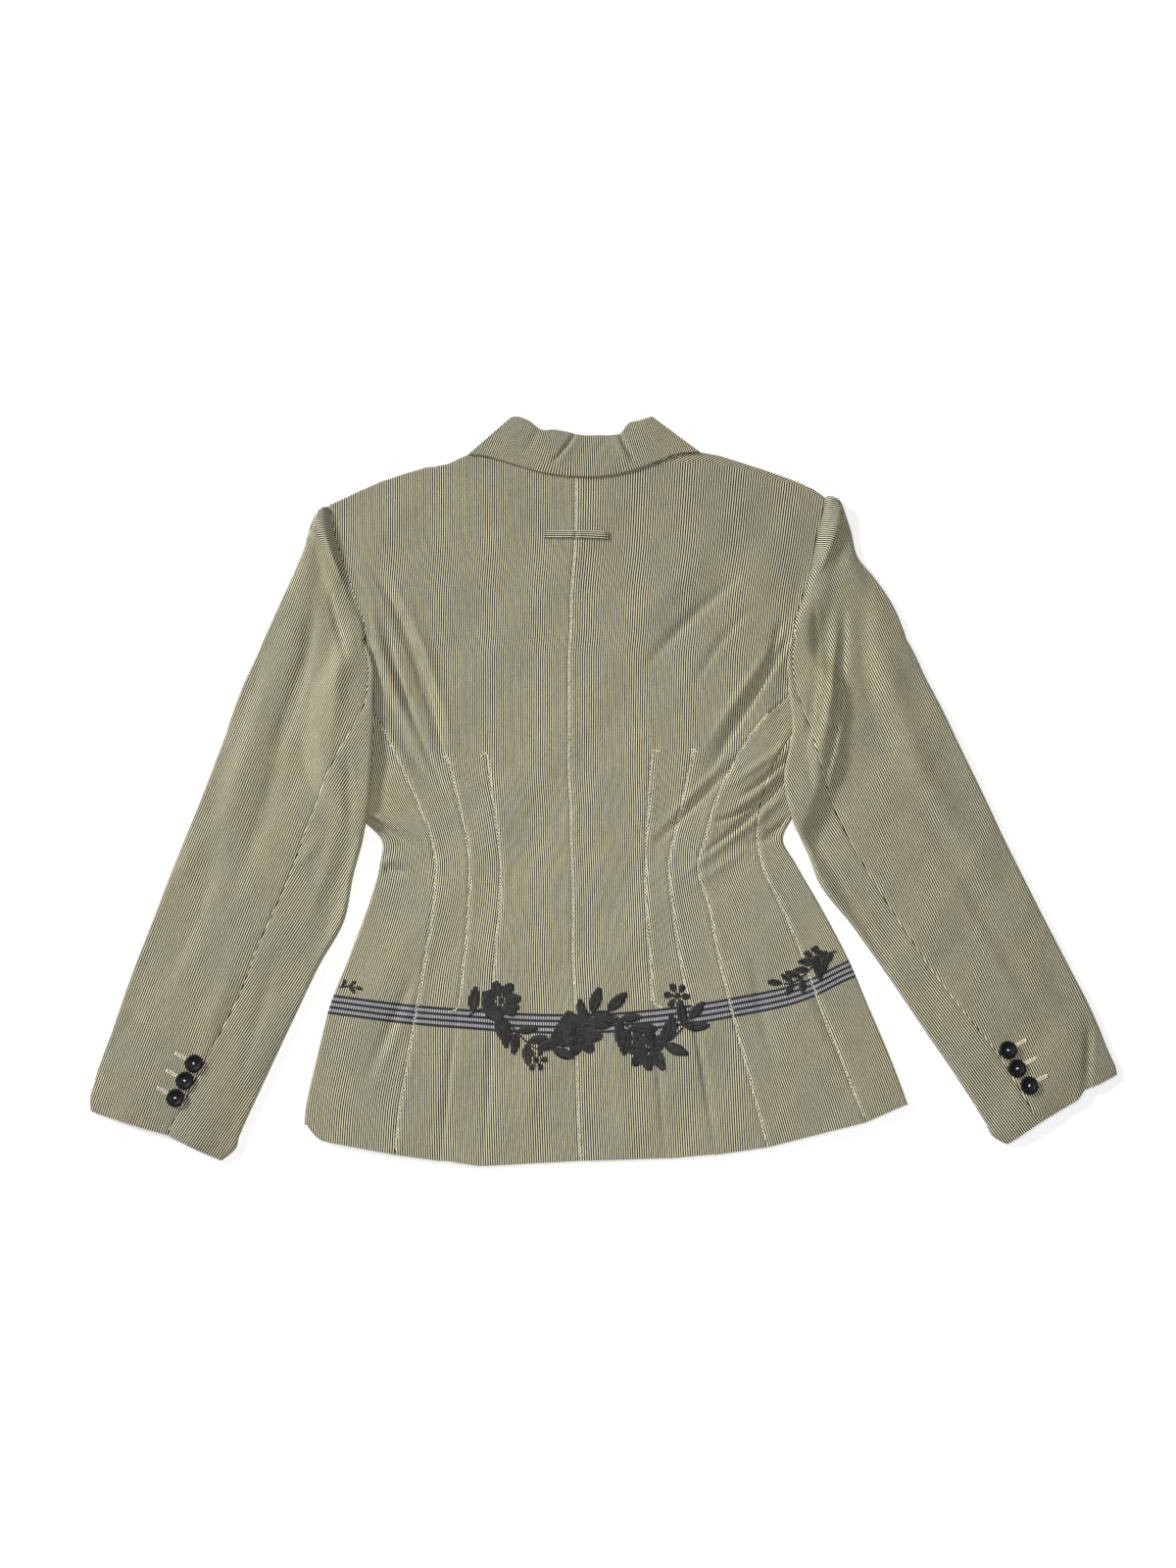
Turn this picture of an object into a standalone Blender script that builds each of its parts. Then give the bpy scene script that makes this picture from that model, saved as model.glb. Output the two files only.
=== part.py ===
"""Pinstripe blazer laid flat on its fronts, back up.

+X is the wearer's right, +Y runs from the hem to the collar and +Z is up. The origin lies on the
floor under the centre back seam at the waist. Tables and sizes are in millimetres and every point
is turned into metres when its mesh is made.
"""
import math

import bmesh
import bpy
import numpy as np

COLLECTION = "pinstripe_blazer"
MM = 0.001

# Cloth and how its layers lie on each other
CLOTH = 1.6                # wall of a sewn panel
SEAM_GAP = 0.36            # between two panels where they are sewn together
LAYER_GAP = 0.3            # between two layers that lie on each other
LAP_LIFT = CLOTH + LAYER_GAP      # a panel that lies on a lapel or on the other front
EDGE_HEIGHT = 5.5          # both layers of the body at its folded edges
EDGE_FADE = 45.0           # the body rises from its edge height over this distance
BODY_SWELL = 1.5           # loft of the back over the fronts
ARMHOLE_SWELL = 1.2        # extra loft where a sleeve is set in
DART_HALF_WIDTH = 3.0
DART_DEPTH = 1.0
DART_BOTTOM = -140.0
DART_TOP = 100.0
DART_FADE = 30.0
SEAM_DEPTH = 0.5

# Rows of the body: share of the way from the hem to the shoulder
HEM_TO_UNDERARM = 0.69
HEM_TO_NOTCH = 0.78        # where the armhole seam passes under the fold of the sleeve
NOTCH_LEFT = (-182.0, 198.0)
NOTCH_RIGHT = (193.0, 204.0)
NOTCH_REACH = 26.0
NOTCH_STRETCH = 0.6        # the loft round a notch is longer up and down than across
WAIST_Y = 4.0
WAIST_REACH = 46.0
WAIST_PULL = 0.35          # share of the loft that the waist takes away
FOLD_EDGE = 3.0            # folds start this far inside the body's edge
FOLD_FADE = 14.0
FOLD_SIDE = 182.0
FOLD_SIDE_FADE = 12.0
FLATTEST = -0.4            # the back never lies lower than this under its edge height
ROWS_BELOW = 16
ROWS_UNDERARM = 4
ROWS_ARMHOLE = 8
WRAP_STEPS = 4             # facets round a folded edge

# Where each seam, dart and edge of the back lies at each height
BODY_COLUMNS = ("y", "left_edge", "left_seam", "left_outer_dart", "left_inner_dart", "centre",
                "right_inner_dart", "right_outer_dart", "right_seam", "right_side", "right_edge")
BODY = (
    (-250, -223, -147, -107, -73, 7, 79, 118, 165, 253, 293),
    (-200, -219, -142, -103, -70, 5, 74, 110, 153, 238, 276),
    (-160, -211, -136, -99, -68, 4, 71, 104, 143, 223, 262),
    (-120, -203, -130, -95, -67, 3, 68, 98, 133, 208, 246),
    (-80, -190, -124, -91, -65, 1, 66, 91, 124, 195, 231),
    (-40, -178, -118, -88, -62, 1, 63, 86, 117, 179, 212),
    (0, -167, -117, -88, -61, 0, 63, 83, 108, 162, 191),
    (20, -165, -120, -90, -63, -1, 64, 87, 114, 159, 181),
    (40, -184, -128, -95, -66, -1, 65, 92, 119, 160, 190),
    (80, -203, -146, -105, -72, -3, 68, 101, 136, 172, 207),
    (120, -206, -166, -115, -74, -3, 71, 110, 161, 194, 214),
    (160, -197, -188, -120, -76, -3, 73, 117, 197, 206, 211),
    (186, -183, -183, -123, -77, -3, 74, 121, 194, 194, 194),
    (200, -182, -182, -124, -77, -2, 75, 122, 193, 193, 193),
    (240, -194, -194, -126, -78, -1, 76, 125, 204, 204, 204),
    (280, -208, -208, -127, -78, 2, 77, 128, 214, 214, 214),
    (330, -221, -221, -128, -78, 3, 78, 130, 227, 227, 227),
)
# Ends of the same lines at the hem and at the shoulder or the neck
HEM_Y = {"left_edge": -228, "left_seam": -241, "left_outer_dart": -247, "left_inner_dart": -251,
         "centre": -248, "right_inner_dart": -245, "right_outer_dart": -241, "right_seam": -234,
         "right_side": -213, "right_edge": -199}
SHOULDER_Y = {"left_edge": 320, "left_seam": 320, "left_outer_dart": 354, "left_inner_dart": 363,
              "centre": 357, "right_inner_dart": 364, "right_outer_dart": 358,
              "right_seam": 329, "right_side": 329, "right_edge": 329}
# The left back folds over the shoulder's edge; on the right a strip of the front shows instead
SHOULDER_STRIP = {"right_inner_dart": 10.0, "right_outer_dart": 9.0, "right_seam": 3.4}
UNDER_STRIP = 5.0
ARMHOLE_SLANT = 0.32         # the armhole runs in by this much for each step down
SHOULDER_FADE = 40.0

# Fronts: inner edge of each, and how far in it is lifted by what lies under it
FRONT_COLUMNS = ("y", "left_inner", "left_lift", "right_inner", "right_lift")
FRONT = (
    (-250, 71, 25, 33, 78),
    (-120, 50, 3, 12, 56),
    (0, 30, -17, -8, 38),
    (60, 20, -30, 0, 42),
    (104, 9, -34, 9, 52),
    (150, -1, -66, 18, 84),
    (200, -11, -92, 27, 109),
    (240, -20, -107, 35, 123),
    (300, -38, -104, 53, 122),
    (362, -76, -106, 80, 124),
)
LAPEL_RAMP = 12.0
RIGHT_LIFT_FROM = 118.0
RIGHT_LIFT_RAMP = 10.0
UNDER_GAP = 0.6
FRONT_TOP = 363.0
TOP_BEND = 6               # how late the rows of a front turn to the slope of the shoulder
# Lapels, folded back under the fronts: width from the roll line
LAPEL_COLUMNS = ("y", "width")
LAPEL = ((147, 54), (160, 59), (200, 70), (240, 78))
LAPEL_INSET = 1.0
LAPEL_NOTCH_RISE = 8.0     # the roll line runs this much higher than the lapel's outer corner
LAPEL_NOTCH_Y = 200.0

# Folds of the body: start, middle and end on the floor plan, half width and height
FOLD_COLUMNS = ("x0", "y0", "x1", "y1", "x2", "y2", "width", "height")
FOLD_STEPS = 13
FOLD_END = 0.06            # a fold is this share of a half wave from nothing at its ends
BODY_FOLDS = (
    (-172, 257, -146, 196, -116, 108, 8, -1.4),
    (-184, 236, -160, 180, -130, 100, 10, 1.6),
    (-170, 130, -142, 100, -116, 62, 10, 1.0),
    (-176, 44, -160, 34, -140, 22, 6, 1.8),
    (-170, 4, -158, -2, -146, -6, 6, 1.4),
    (178, 178, 150, 140, 122, 84, 9, 1.6),
    (172, 100, 152, 74, 124, 52, 8, 2.4),
    (176, 62, 148, 38, 112, 12, 8, 3.0),
    (160, 38, 132, 12, 100, -12, 7, 1.6),
    (140, 90, 112, 58, 74, 16, 10, 1.4),
    (140, 244, 104, 212, 70, 178, 14, 1.0),
)

# Sleeves below the notch: outer edge, inner fold and share of the width at the back seam
SLEEVE_COLUMNS = ("along", "outer_x", "outer_y", "inner_x", "inner_y", "seam", "height")
SLEEVE_LEFT = (
    (0.03, -275, 190, -183, 188, 0.970, 4.4),
    (0.05, -279, 180, -177, 177, 0.965, 4.8),
    (0.10, -289, 158, -175, 150, 0.955, 5.2),
    (0.24, -308, 103, -175, 87, 0.767, 6.0),
    (0.36, -325, 55, -176, 31, 0.670, 6.0),
    (0.45, -338, 18, -186, -11, 0.655, 6.0),
    (0.55, -351, -19, -195, -54, 0.620, 6.0),
    (0.62, -361, -49, -213, -84, 0.630, 6.0),
    (0.72, -373, -90, -234, -125, 0.650, 5.6),
    (0.84, -386, -140, -258, -177, 0.622, 5.4),
    (1.00, -403, -205, -284, -244, 0.580, 5.0),
)
SLEEVE_RIGHT = (
    (0.02, 294, 198, 195, 196, 0.970, 4.4),
    (0.05, 300, 186, 190, 183, 0.965, 4.8),
    (0.10, 308, 166, 188, 155, 0.955, 5.2),
    (0.18, 322, 136, 190, 117, 0.890, 6.0),
    (0.29, 340, 97, 182, 68, 0.785, 6.4),
    (0.35, 351, 74, 189, 40, 0.770, 6.4),
    (0.42, 364, 46, 204, 7, 0.765, 6.0),
    (0.48, 374, 24, 212, -19, 0.740, 6.0),
    (0.57, 390, -11, 238, -54, 0.760, 6.0),
    (0.65, 404, -41, 261, -88, 0.765, 6.0),
    (0.77, 424, -87, 293, -137, 0.735, 5.6),
    (0.90, 441, -134, 325, -188, 0.685, 5.4),
    (1.00, 456, -180, 352, -230, 0.683, 5.0),
)
SLEEVE_ROWS = 16
# Outer edge of each sleeve's cap, from the shoulder tip down to the notch
CAP_LEFT = ((0.0, -222, 322), (0.09, -230, 315), (0.32, -241, 284), (0.76, -261, 226),
            (1.0, -273, 196))
CAP_RIGHT = ((0.0, 230, 331), (0.09, 240, 324), (0.24, 247, 303), (0.48, 255, 270),
             (0.60, 266, 256), (0.87, 286, 222), (1.0, 292, 205))
CAP_COLUMNS = ("along", "x", "y")
CAP_PUFF = 1.0
CAP_BLEND = 9.0            # the cap's height meets the back's height over this distance
SLEEVE_REST = {"left": 7.4, "right": 8.4}      # height of the body under each sleeve
REST_RAMP = 22.0
REST_MARGIN = 8.0
FRONT_SEAM_INSET = 14.0
SLEEVE_SWELL = 1.6
SLEEVE_SWELL_REACH = 0.3   # share of the width over which a sleeve rises to its loft
SLEEVE_FOLD_REACH = 0.12
CAP_PUFF_REACH = 0.1
# Long folds of the sleeves, laid out as the folds of the body are
LEFT_SLEEVE_FOLDS = (
    (-226, 232, -238, 160, -262, 84, 9, -1.0),
    (-204, 200, -200, 150, -206, 106, 9, 1.2),
    (-262, 170, -284, 90, -306, 10, 14, 1.2),
    (-296, 60, -318, -30, -350, -130, 12, -0.9),
    (-196, 40, -212, -20, -232, -70, 10, 0.9),
)
RIGHT_SLEEVE_FOLDS = (
    (247, 262, 262, 180, 280, 90, 8, -1.2),
    (228, 230, 222, 160, 206, 96, 9, 1.4),
    (214, 150, 208, 100, 216, 50, 7, -1.3),
    (266, 200, 290, 110, 330, 20, 14, 1.4),
    (300, 60, 336, -20, 384, -110, 12, -1.0),
    (214, 20, 240, -30, 284, -100, 10, 1.0),
)

# Collar: outer edge, roll line and height of the roll, from the left fold to the right one
COLLAR_COLUMNS = ("along", "edge_x", "edge_y", "roll_x", "roll_y", "roll_z")
COLLAR = (
    (0.00, -95, 369, -58, 402, 9.0),
    (0.12, -70, 365, -44, 400, 10.0),
    (0.25, -44, 357, -28, 392, 9.0),
    (0.38, -18, 350, -12, 390, 8.0),
    (0.50, 8, 348, 10, 386, 7.8),
    (0.62, 33, 349, 33, 386, 8.0),
    (0.75, 60, 356, 49, 395, 9.0),
    (0.88, 87, 367, 62, 400, 10.0),
    (1.00, 115, 371, 73, 403, 9.0),
)
COLLAR_EDGE_Z = 8.0
COLLAR_ROWS = 5
COLLAR_MIDDLE = 8.0
COLLAR_REACH = 114.0
SHOULDER_RAMP = 18.0
COLLAR_ROLL_DROP = 3.0
COLLAR_ROLL_SLOPE = 0.3
STAND_FLARE = 1.15
STAND_SHARES = (0.1, 0.9)      # the stand ends short of the folds at the sides of the neck
STAND_INSET = 3.2              # its top lies this far inside the roll line
STAND_DROP = 0.8
# Front ends of the collar, under the fronts: outer and roll corner
COLLAR_END_LEFT = ((-88, 262), (-26, 256))
COLLAR_END_RIGHT = ((104, 262), (42, 256))

# Hanger tab and cuff buttons
TAB_CENTRE = (3.0, 294.5)
TAB_SIZE = (57.0, 7.0, 1.6)
TAB_SLOPE = math.radians(-9.0)
TAB_CROWN = 0.35
# Radius and height round a button, from the middle of its dish over the rim to its back
BUTTON_PROFILE = ((0.0, 1.3), (4.3, 1.5), (5.3, 2.4), (6.8, 2.4), (7.5, 1.7), (7.5, 0.6),
                  (6.6, 0.0), (0.0, 0.0))
BUTTON_RADIUS = 7.5
BUTTON_FACETS = 20
BUTTONS_LEFT = ((-315, -169), (-322, -183), (-329, -197))
BUTTONS_RIGHT = ((364, -158), (371, -173), (380, -187))
BUTTON_CLEARANCE = 0.45

CLOTH_COLOUR = (0.30, 0.29, 0.20, 1.0)
BUTTON_COLOUR = (0.008, 0.008, 0.007, 1.0)


def smooth_curve(xs, ys, x):
    """Value at x of a soft curve through the points (xs, ys)."""
    xs = np.asarray(xs, float)
    ys = np.asarray(ys, float)
    x = np.clip(np.asarray(x, float), xs[0], xs[-1])
    slope = np.gradient(ys, xs)
    k = np.clip(np.searchsorted(xs, x, side="right") - 1, 0, len(xs) - 2)
    span = xs[k + 1] - xs[k]
    t = (x - xs[k]) / span
    rise = ys[k + 1] - ys[k]
    start = slope[k] * span
    end = slope[k + 1] * span
    return ys[k] + t * (start + t * (3 * rise - 2 * start - end + t * (start + end - 2 * rise)))


def smoothstep(t):
    t = np.clip(t, 0.0, 1.0)
    return t * t * (3 - 2 * t)


def column(table, columns, name):
    return [row[columns.index(name)] for row in table]


def body_x(name, y):
    """Place across the body of one of its lines at height y."""
    return smooth_curve(column(BODY, BODY_COLUMNS, "y"), column(BODY, BODY_COLUMNS, name), y)


def front_x(name, y):
    return smooth_curve(column(FRONT, FRONT_COLUMNS, "y"), column(FRONT, FRONT_COLUMNS, name), y)


def hem_y(x):
    names = BODY_COLUMNS[1:]
    return np.interp(x, [float(body_x(n, HEM_Y[n])) for n in names], [HEM_Y[n] for n in names])


def fold_height(folds, x, y):
    """Sum of soft ridges and troughs, each along a bent line that fades at both ends."""
    total = np.zeros(np.broadcast(x, y).shape)
    steps = np.linspace(0, 1, FOLD_STEPS)
    for x0, y0, x1, y1, x2, y2, width, height in folds:
        nearest = np.full(total.shape, np.inf)
        share = np.zeros(total.shape)
        for t in steps:
            px = (1 - t) ** 2 * x0 + 2 * t * (1 - t) * (2 * x1 - (x0 + x2) / 2) + t * t * x2
            py = (1 - t) ** 2 * y0 + 2 * t * (1 - t) * (2 * y1 - (y0 + y2) / 2) + t * t * y2
            distance = np.hypot(x - px, y - py)
            closer = distance < nearest
            nearest = np.where(closer, distance, nearest)
            share = np.where(closer, t, share)
        wave = np.sin(np.pi * (FOLD_END + (1 - 2 * FOLD_END) * share))
        total += height * np.exp(-(nearest / width) ** 2) * wave
    return total


def row_shares():
    """Shares of the hem to shoulder height at which the body has a row of points."""
    below = np.linspace(0, HEM_TO_UNDERARM, ROWS_BELOW)
    under = np.linspace(HEM_TO_UNDERARM, HEM_TO_NOTCH, ROWS_UNDERARM)[1:]
    above = np.linspace(HEM_TO_NOTCH, 1, ROWS_ARMHOLE)[1:]
    return np.concatenate([below, under, above])


ROWS = row_shares()
UNDERARM_ROW = ROWS_BELOW - 1
NOTCH_ROW = ROWS_BELOW + ROWS_UNDERARM - 2


def back_top(name):
    """Height on the floor plan where one line of the back ends, short of the shoulder's edge."""
    if name == "centre":
        return SHOULDER_Y[name]
    if name.startswith("left"):
        return SHOULDER_Y[name] - EDGE_HEIGHT / 2
    return SHOULDER_Y[name] - SHOULDER_STRIP.get(name, SHOULDER_STRIP["right_seam"])


def body_line(name):
    """Points of one named line of the body at every row."""
    y = HEM_Y[name] + ROWS * (back_top(name) - HEM_Y[name])
    return np.stack([body_x(name, y), y], axis=-1)


def shoulder_y(x):
    names = ("left_seam", "left_outer_dart", "left_inner_dart", "centre",
             "right_inner_dart", "right_outer_dart", "right_seam")
    return np.interp(x, [float(body_x(n, SHOULDER_Y[n])) for n in names],
                     [SHOULDER_Y[n] for n in names])


def back_height(x, y):
    """Height of the back's outer face, without darts and seams."""
    inside = np.minimum(x - body_x("left_edge", y), body_x("right_edge", y) - x)
    below = shoulder_y(x) - y - SHOULDER_STRIP["right_seam"]
    swell = BODY_SWELL * smoothstep(inside / EDGE_FADE) * smoothstep(below / SHOULDER_FADE)
    notch = np.minimum(*(np.hypot(x - notch_x, (y - notch_y) * NOTCH_STRETCH)
                         for notch_x, notch_y in (NOTCH_LEFT, NOTCH_RIGHT)))
    swell = swell + ARMHOLE_SWELL * np.exp(-(notch / NOTCH_REACH) ** 2)
    waist = WAIST_PULL * np.exp(-((y - WAIST_Y) / WAIST_REACH) ** 2)
    fold_fade = smoothstep((inside - FOLD_EDGE) / FOLD_FADE)
    fold_fade = fold_fade * smoothstep((FOLD_SIDE - np.abs(x)) / FOLD_SIDE_FADE)
    folds = fold_height(BODY_FOLDS, x, y) * np.maximum(fold_fade, waist)
    return EDGE_HEIGHT + np.maximum(swell * (1 - waist) + folds, FLATTEST)


def between(a, b, shares):
    return [(1 - s) * a + s * b for s in shares]


def shifted(line, dx, dy=0.0):
    return line + np.array([dx, dy])


def dart_columns(line, sign):
    """Three columns close together, so that a dart is a narrow groove."""
    return [shifted(line, -sign * DART_HALF_WIDTH), line, shifted(line, sign * DART_HALF_WIDTH)]


def dart_depth(y):
    return (DART_DEPTH * smoothstep((y - DART_BOTTOM) / DART_FADE)
            * smoothstep((DART_TOP - y) / DART_FADE))


def grid(columns):
    """Plan points as an array of rows, columns and the two plan directions."""
    return np.stack(columns, axis=1)


def with_height(plan, height):
    return np.concatenate([plan, np.asarray(height)[..., None]], axis=-1)


def closed_wall(name, outer, inner, keep=None):
    """One solid from two grids of points; keep marks the cells that the wall covers."""
    rows, columns = outer.shape[:2]
    if keep is None:
        keep = np.ones((rows - 1, columns - 1), bool)
    points = np.concatenate([outer.reshape(-1, 3), inner.reshape(-1, 3)]) * MM
    offset = rows * columns
    faces = []
    for i in range(rows - 1):
        for j in range(columns - 1):
            if not keep[i][j]:
                continue
            a = i * columns + j
            quad = (a, a + 1, a + columns + 1, a + columns)
            faces.append(quad)
            faces.append(tuple(offset + p for p in reversed(quad)))
            sides = ((i, j - 1, quad[3], quad[0]), (i, j + 1, quad[1], quad[2]),
                     (i - 1, j, quad[0], quad[1]), (i + 1, j, quad[2], quad[3]))
            for row, col, p, q in sides:
                inside = 0 <= row < rows - 1 and 0 <= col < columns - 1 and keep[row][col]
                if not inside:
                    faces.append((q, p, offset + p, offset + q))
    used = sorted({p for face in faces for p in face})
    place = {p: n for n, p in enumerate(used)}
    mesh = bpy.data.meshes.new(name)
    mesh.from_pydata([tuple(points[p]) for p in used], [], [[place[p] for p in f] for f in faces])
    return finish_object(name, mesh, CLOTH_COLOUR, 0.85)


def finish_object(name, mesh, colour, roughness):
    """Put a mesh in the blazer's collection with a material of its own."""
    obj = bpy.data.objects.new(name, mesh)
    bpy.data.collections[COLLECTION].objects.link(obj)
    turn_faces_out(mesh)
    mesh.shade_smooth()
    mesh.set_sharp_from_angle(angle=math.radians(35))
    material = bpy.data.materials.new(name)
    material.use_nodes = True
    shader = material.node_tree.nodes["Principled BSDF"]
    shader.inputs["Base Color"].default_value = colour
    shader.inputs["Roughness"].default_value = roughness
    shader.inputs["Metallic"].default_value = 0.0
    mesh.materials.append(material)
    return obj


def turn_faces_out(mesh):
    shape = bmesh.new()
    shape.from_mesh(mesh)
    bmesh.ops.recalc_face_normals(shape, faces=shape.faces[:])
    shape.to_mesh(mesh)
    shape.free()


def edge_arc(centre, outward, top, bottom, angles):
    """Outer and inner points round a folded edge, from its top layer to its bottom one."""
    radius = (top - bottom) / 2
    middle = (top + bottom) / 2
    outer = []
    inner = []
    for angle in angles:
        for radii, points in ((radius, outer), (radius - CLOTH, inner)):
            plan = centre + outward * (radii * math.sin(angle))[..., None]
            points.append(with_height(plan, middle + radii * math.cos(angle)))
    return outer, inner


def arc_angles():
    return [math.pi * k / WRAP_STEPS for k in range(1, WRAP_STEPS)]


def back_panel(side):
    """One half of the back, from the centre seam to the side-back seam and the armhole."""
    sign = -1 if side == "left" else 1
    centre = shifted(body_line("centre"), sign * SEAM_GAP / 2)
    inner_dart = body_line(side + "_inner_dart")
    outer_dart = body_line(side + "_outer_dart")
    seam = shifted(body_line(side + "_seam"), -sign * SEAM_GAP / 2)
    inner_columns = dart_columns(inner_dart, sign)
    outer_columns = dart_columns(outer_dart, sign)
    columns = [centre] + between(centre, inner_columns[0], (0.08, 0.38, 0.7)) + inner_columns
    columns += between(inner_columns[2], outer_columns[0], (0.5,)) + outer_columns
    columns += between(outer_columns[2], seam, (0.3, 0.6, 0.86)) + [seam]
    plan = grid(columns)
    height = back_height(plan[..., 0], plan[..., 1])
    first_dart = 5
    second_dart = 9
    for dart in (first_dart, second_dart):
        height[:, dart] -= dart_depth(plan[:, dart, 1])
    height[:, 0] -= SEAM_DEPTH
    height[:, -1] -= SEAM_DEPTH
    outer = with_height(plan, height)
    inner = with_height(plan, height - CLOTH)
    keep = np.ones((len(ROWS) - 1, len(columns) - 1), bool)
    if side == "left":
        outer, inner, keep = fold_over_shoulder(outer, inner, keep, first_dart)
    closed_wall("back_" + side, outer, inner, keep)


def shoulder_floor(x):
    """Height of what the folded shoulder edge lies on: the floor, or the collar's front end."""
    inside = COLLAR_REACH + SHOULDER_RAMP - np.abs(x - COLLAR_MIDDLE)
    return LAP_LIFT * smoothstep(inside / SHOULDER_RAMP)


def fold_over_shoulder(outer, inner, keep, first_column):
    """Carry the top rows of a back over the shoulder's edge to a strip underneath."""
    top = outer[-1]
    outward = np.tile(np.array([0.0, 1.0]), (len(top), 1))
    floor = shoulder_floor(top[:, 0])
    arcs = edge_arc(top[:, :2], outward, top[:, 2], floor, arc_angles())
    under = shifted(top[:, :2], 0, -UNDER_STRIP)
    under[-1, 0] += UNDER_STRIP * ARMHOLE_SLANT
    outer_rows = arcs[0] + [with_height(top[:, :2], floor), with_height(under, floor)]
    inner_rows = arcs[1] + [with_height(top[:, :2], floor + CLOTH),
                            with_height(under, floor + CLOTH)]
    added = len(outer_rows)
    extra = np.ones((added, keep.shape[1]), bool)
    extra[:, :first_column] = False
    outer = np.concatenate([outer, np.stack(outer_rows)])
    inner = np.concatenate([inner, np.stack(inner_rows)])
    return outer, inner, np.concatenate([keep, extra])


def side_top_strip(side, inner_name, edge_name):
    """Columns on the top layer from a seam to the folded edge of the body."""
    sign = -1 if side == "left" else 1
    seam = shifted(body_line(inner_name), sign * SEAM_GAP / 2)
    edge = shifted(body_line(edge_name), -sign * EDGE_HEIGHT / 2)
    columns = [seam] + between(seam, edge, (0.12, 0.34, 0.56, 0.78)) + [edge]
    plan = grid(columns)[:UNDERARM_ROW + 1]
    height = back_height(plan[..., 0], plan[..., 1])
    height[:, 0] -= SEAM_DEPTH
    height[:, -1] = EDGE_HEIGHT
    return plan, height


def wrapped_side(side, plan, height):
    """Outer and inner columns of a top strip and of its folded edge, down to the floor."""
    sign = -1 if side == "left" else 1
    edge = plan[:, -1]
    outward = np.tile(np.array([float(sign), 0.0]), (len(edge), 1))
    top = np.full(len(edge), EDGE_HEIGHT)
    bottom = np.zeros(len(edge))
    arcs = edge_arc(edge, outward, top, bottom, arc_angles())
    outer = np.concatenate([with_height(plan, height), np.stack(arcs[0], axis=1)], axis=1)
    inner = np.concatenate([with_height(plan, height - CLOTH), np.stack(arcs[1], axis=1)], axis=1)
    return outer, inner, edge


def side_back_left():
    """Left side panel: from the side-back seam round the body's edge to its front seam."""
    plan, height = side_top_strip("left", "left_seam", "left_edge")
    outer, inner, edge = wrapped_side("left", plan, height)
    under = grid([edge, shifted(edge, UNDER_STRIP), shifted(edge, 2 * UNDER_STRIP)])
    floor = np.zeros(under.shape[:2])
    outer = np.concatenate([outer, with_height(under, floor)], axis=1)
    inner = np.concatenate([inner, with_height(under, floor + CLOTH)], axis=1)
    closed_wall("side_back_left", outer, inner)


def side_back_right():
    """Right side panel, flat between the side-back seam and the side seam."""
    start = shifted(body_line("right_seam"), SEAM_GAP / 2)
    end = shifted(body_line("right_side"), -SEAM_GAP / 2)
    plan = grid([start] + between(start, end, (0.14, 0.38, 0.62, 0.86)) + [end])
    plan = plan[:UNDERARM_ROW + 1]
    height = back_height(plan[..., 0], plan[..., 1])
    height[:, 0] -= SEAM_DEPTH
    height[:, -1] -= SEAM_DEPTH
    closed_wall("side_back_right", with_height(plan, height), with_height(plan, height - CLOTH))


def front_line(name, drop):
    """Points of one line of a front at every row, from the hem to just short of the shoulder."""
    bottom = hem_y(float(front_x(name, FRONT[0][0])))
    y = bottom + ROWS * (FRONT_TOP - drop - bottom)
    return np.stack([front_x(name, y), y], axis=-1)


def front_outer_line(side, drop, under_edge):
    """Outer line of a front: the body's edge below the underarm and the armhole above it."""
    away = -1 if side == "left" else 1
    edge = shifted(body_line(side + "_edge"), -away * under_edge)
    y = HEM_Y[side + "_edge"] + ROWS * (SHOULDER_Y[side + "_seam"] - drop - HEM_Y[side + "_edge"])
    armhole = np.stack([body_x(side + "_seam", y) - away * UNDER_GAP, y], axis=-1)
    return np.where(np.arange(len(ROWS))[:, None] <= UNDERARM_ROW, edge, armhole)


def front_under_columns(side, outer_line, drop):
    """Columns of a front on the floor side, from its outer line to its inner edge."""
    away = -1 if side == "left" else 1
    lift = front_line(side + "_lift", drop)
    inner = front_line(side + "_inner", drop)
    ramp = shifted(lift, away * LAPEL_RAMP)
    columns = [outer_line] + between(outer_line, ramp, (0.34, 0.67)) + [ramp, lift]
    columns += between(lift, inner, (0.5,)) + [inner]
    plan = grid(columns)
    top = shoulder_y(plan[-1, :, 0]) - drop
    plan[:, 1:, 1] += (ROWS[:, None] ** TOP_BEND * (top - plan[-1, :, 1])[None, :])[:, 1:]
    height = np.zeros(plan.shape[:2])
    lifted = np.full(len(ROWS), LAP_LIFT)
    if side == "right":
        lifted = LAP_LIFT * smoothstep((lift[:, 1] - RIGHT_LIFT_FROM) / RIGHT_LIFT_RAMP)
    height[:, 4:] = lifted[:, None]
    over_collar = smoothstep((plan[..., 1] - COLLAR_END_LEFT[0][1] - LAPEL_RAMP) / LAPEL_RAMP)
    return plan, np.maximum(height, over_collar * shoulder_floor(plan[..., 0]))


def front_left():
    """Left front on the floor, lifted where it laps over the right front and on its lapel."""
    drop = EDGE_HEIGHT / 2 + UNDER_STRIP + 2 * UNDER_GAP
    under_edge = EDGE_HEIGHT / 2 + 2 * UNDER_STRIP + UNDER_GAP
    plan, height = front_under_columns("left", front_outer_line("left", drop, under_edge), drop)
    closed_wall("front_left", with_height(plan, height), with_height(plan, height + CLOTH))


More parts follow.
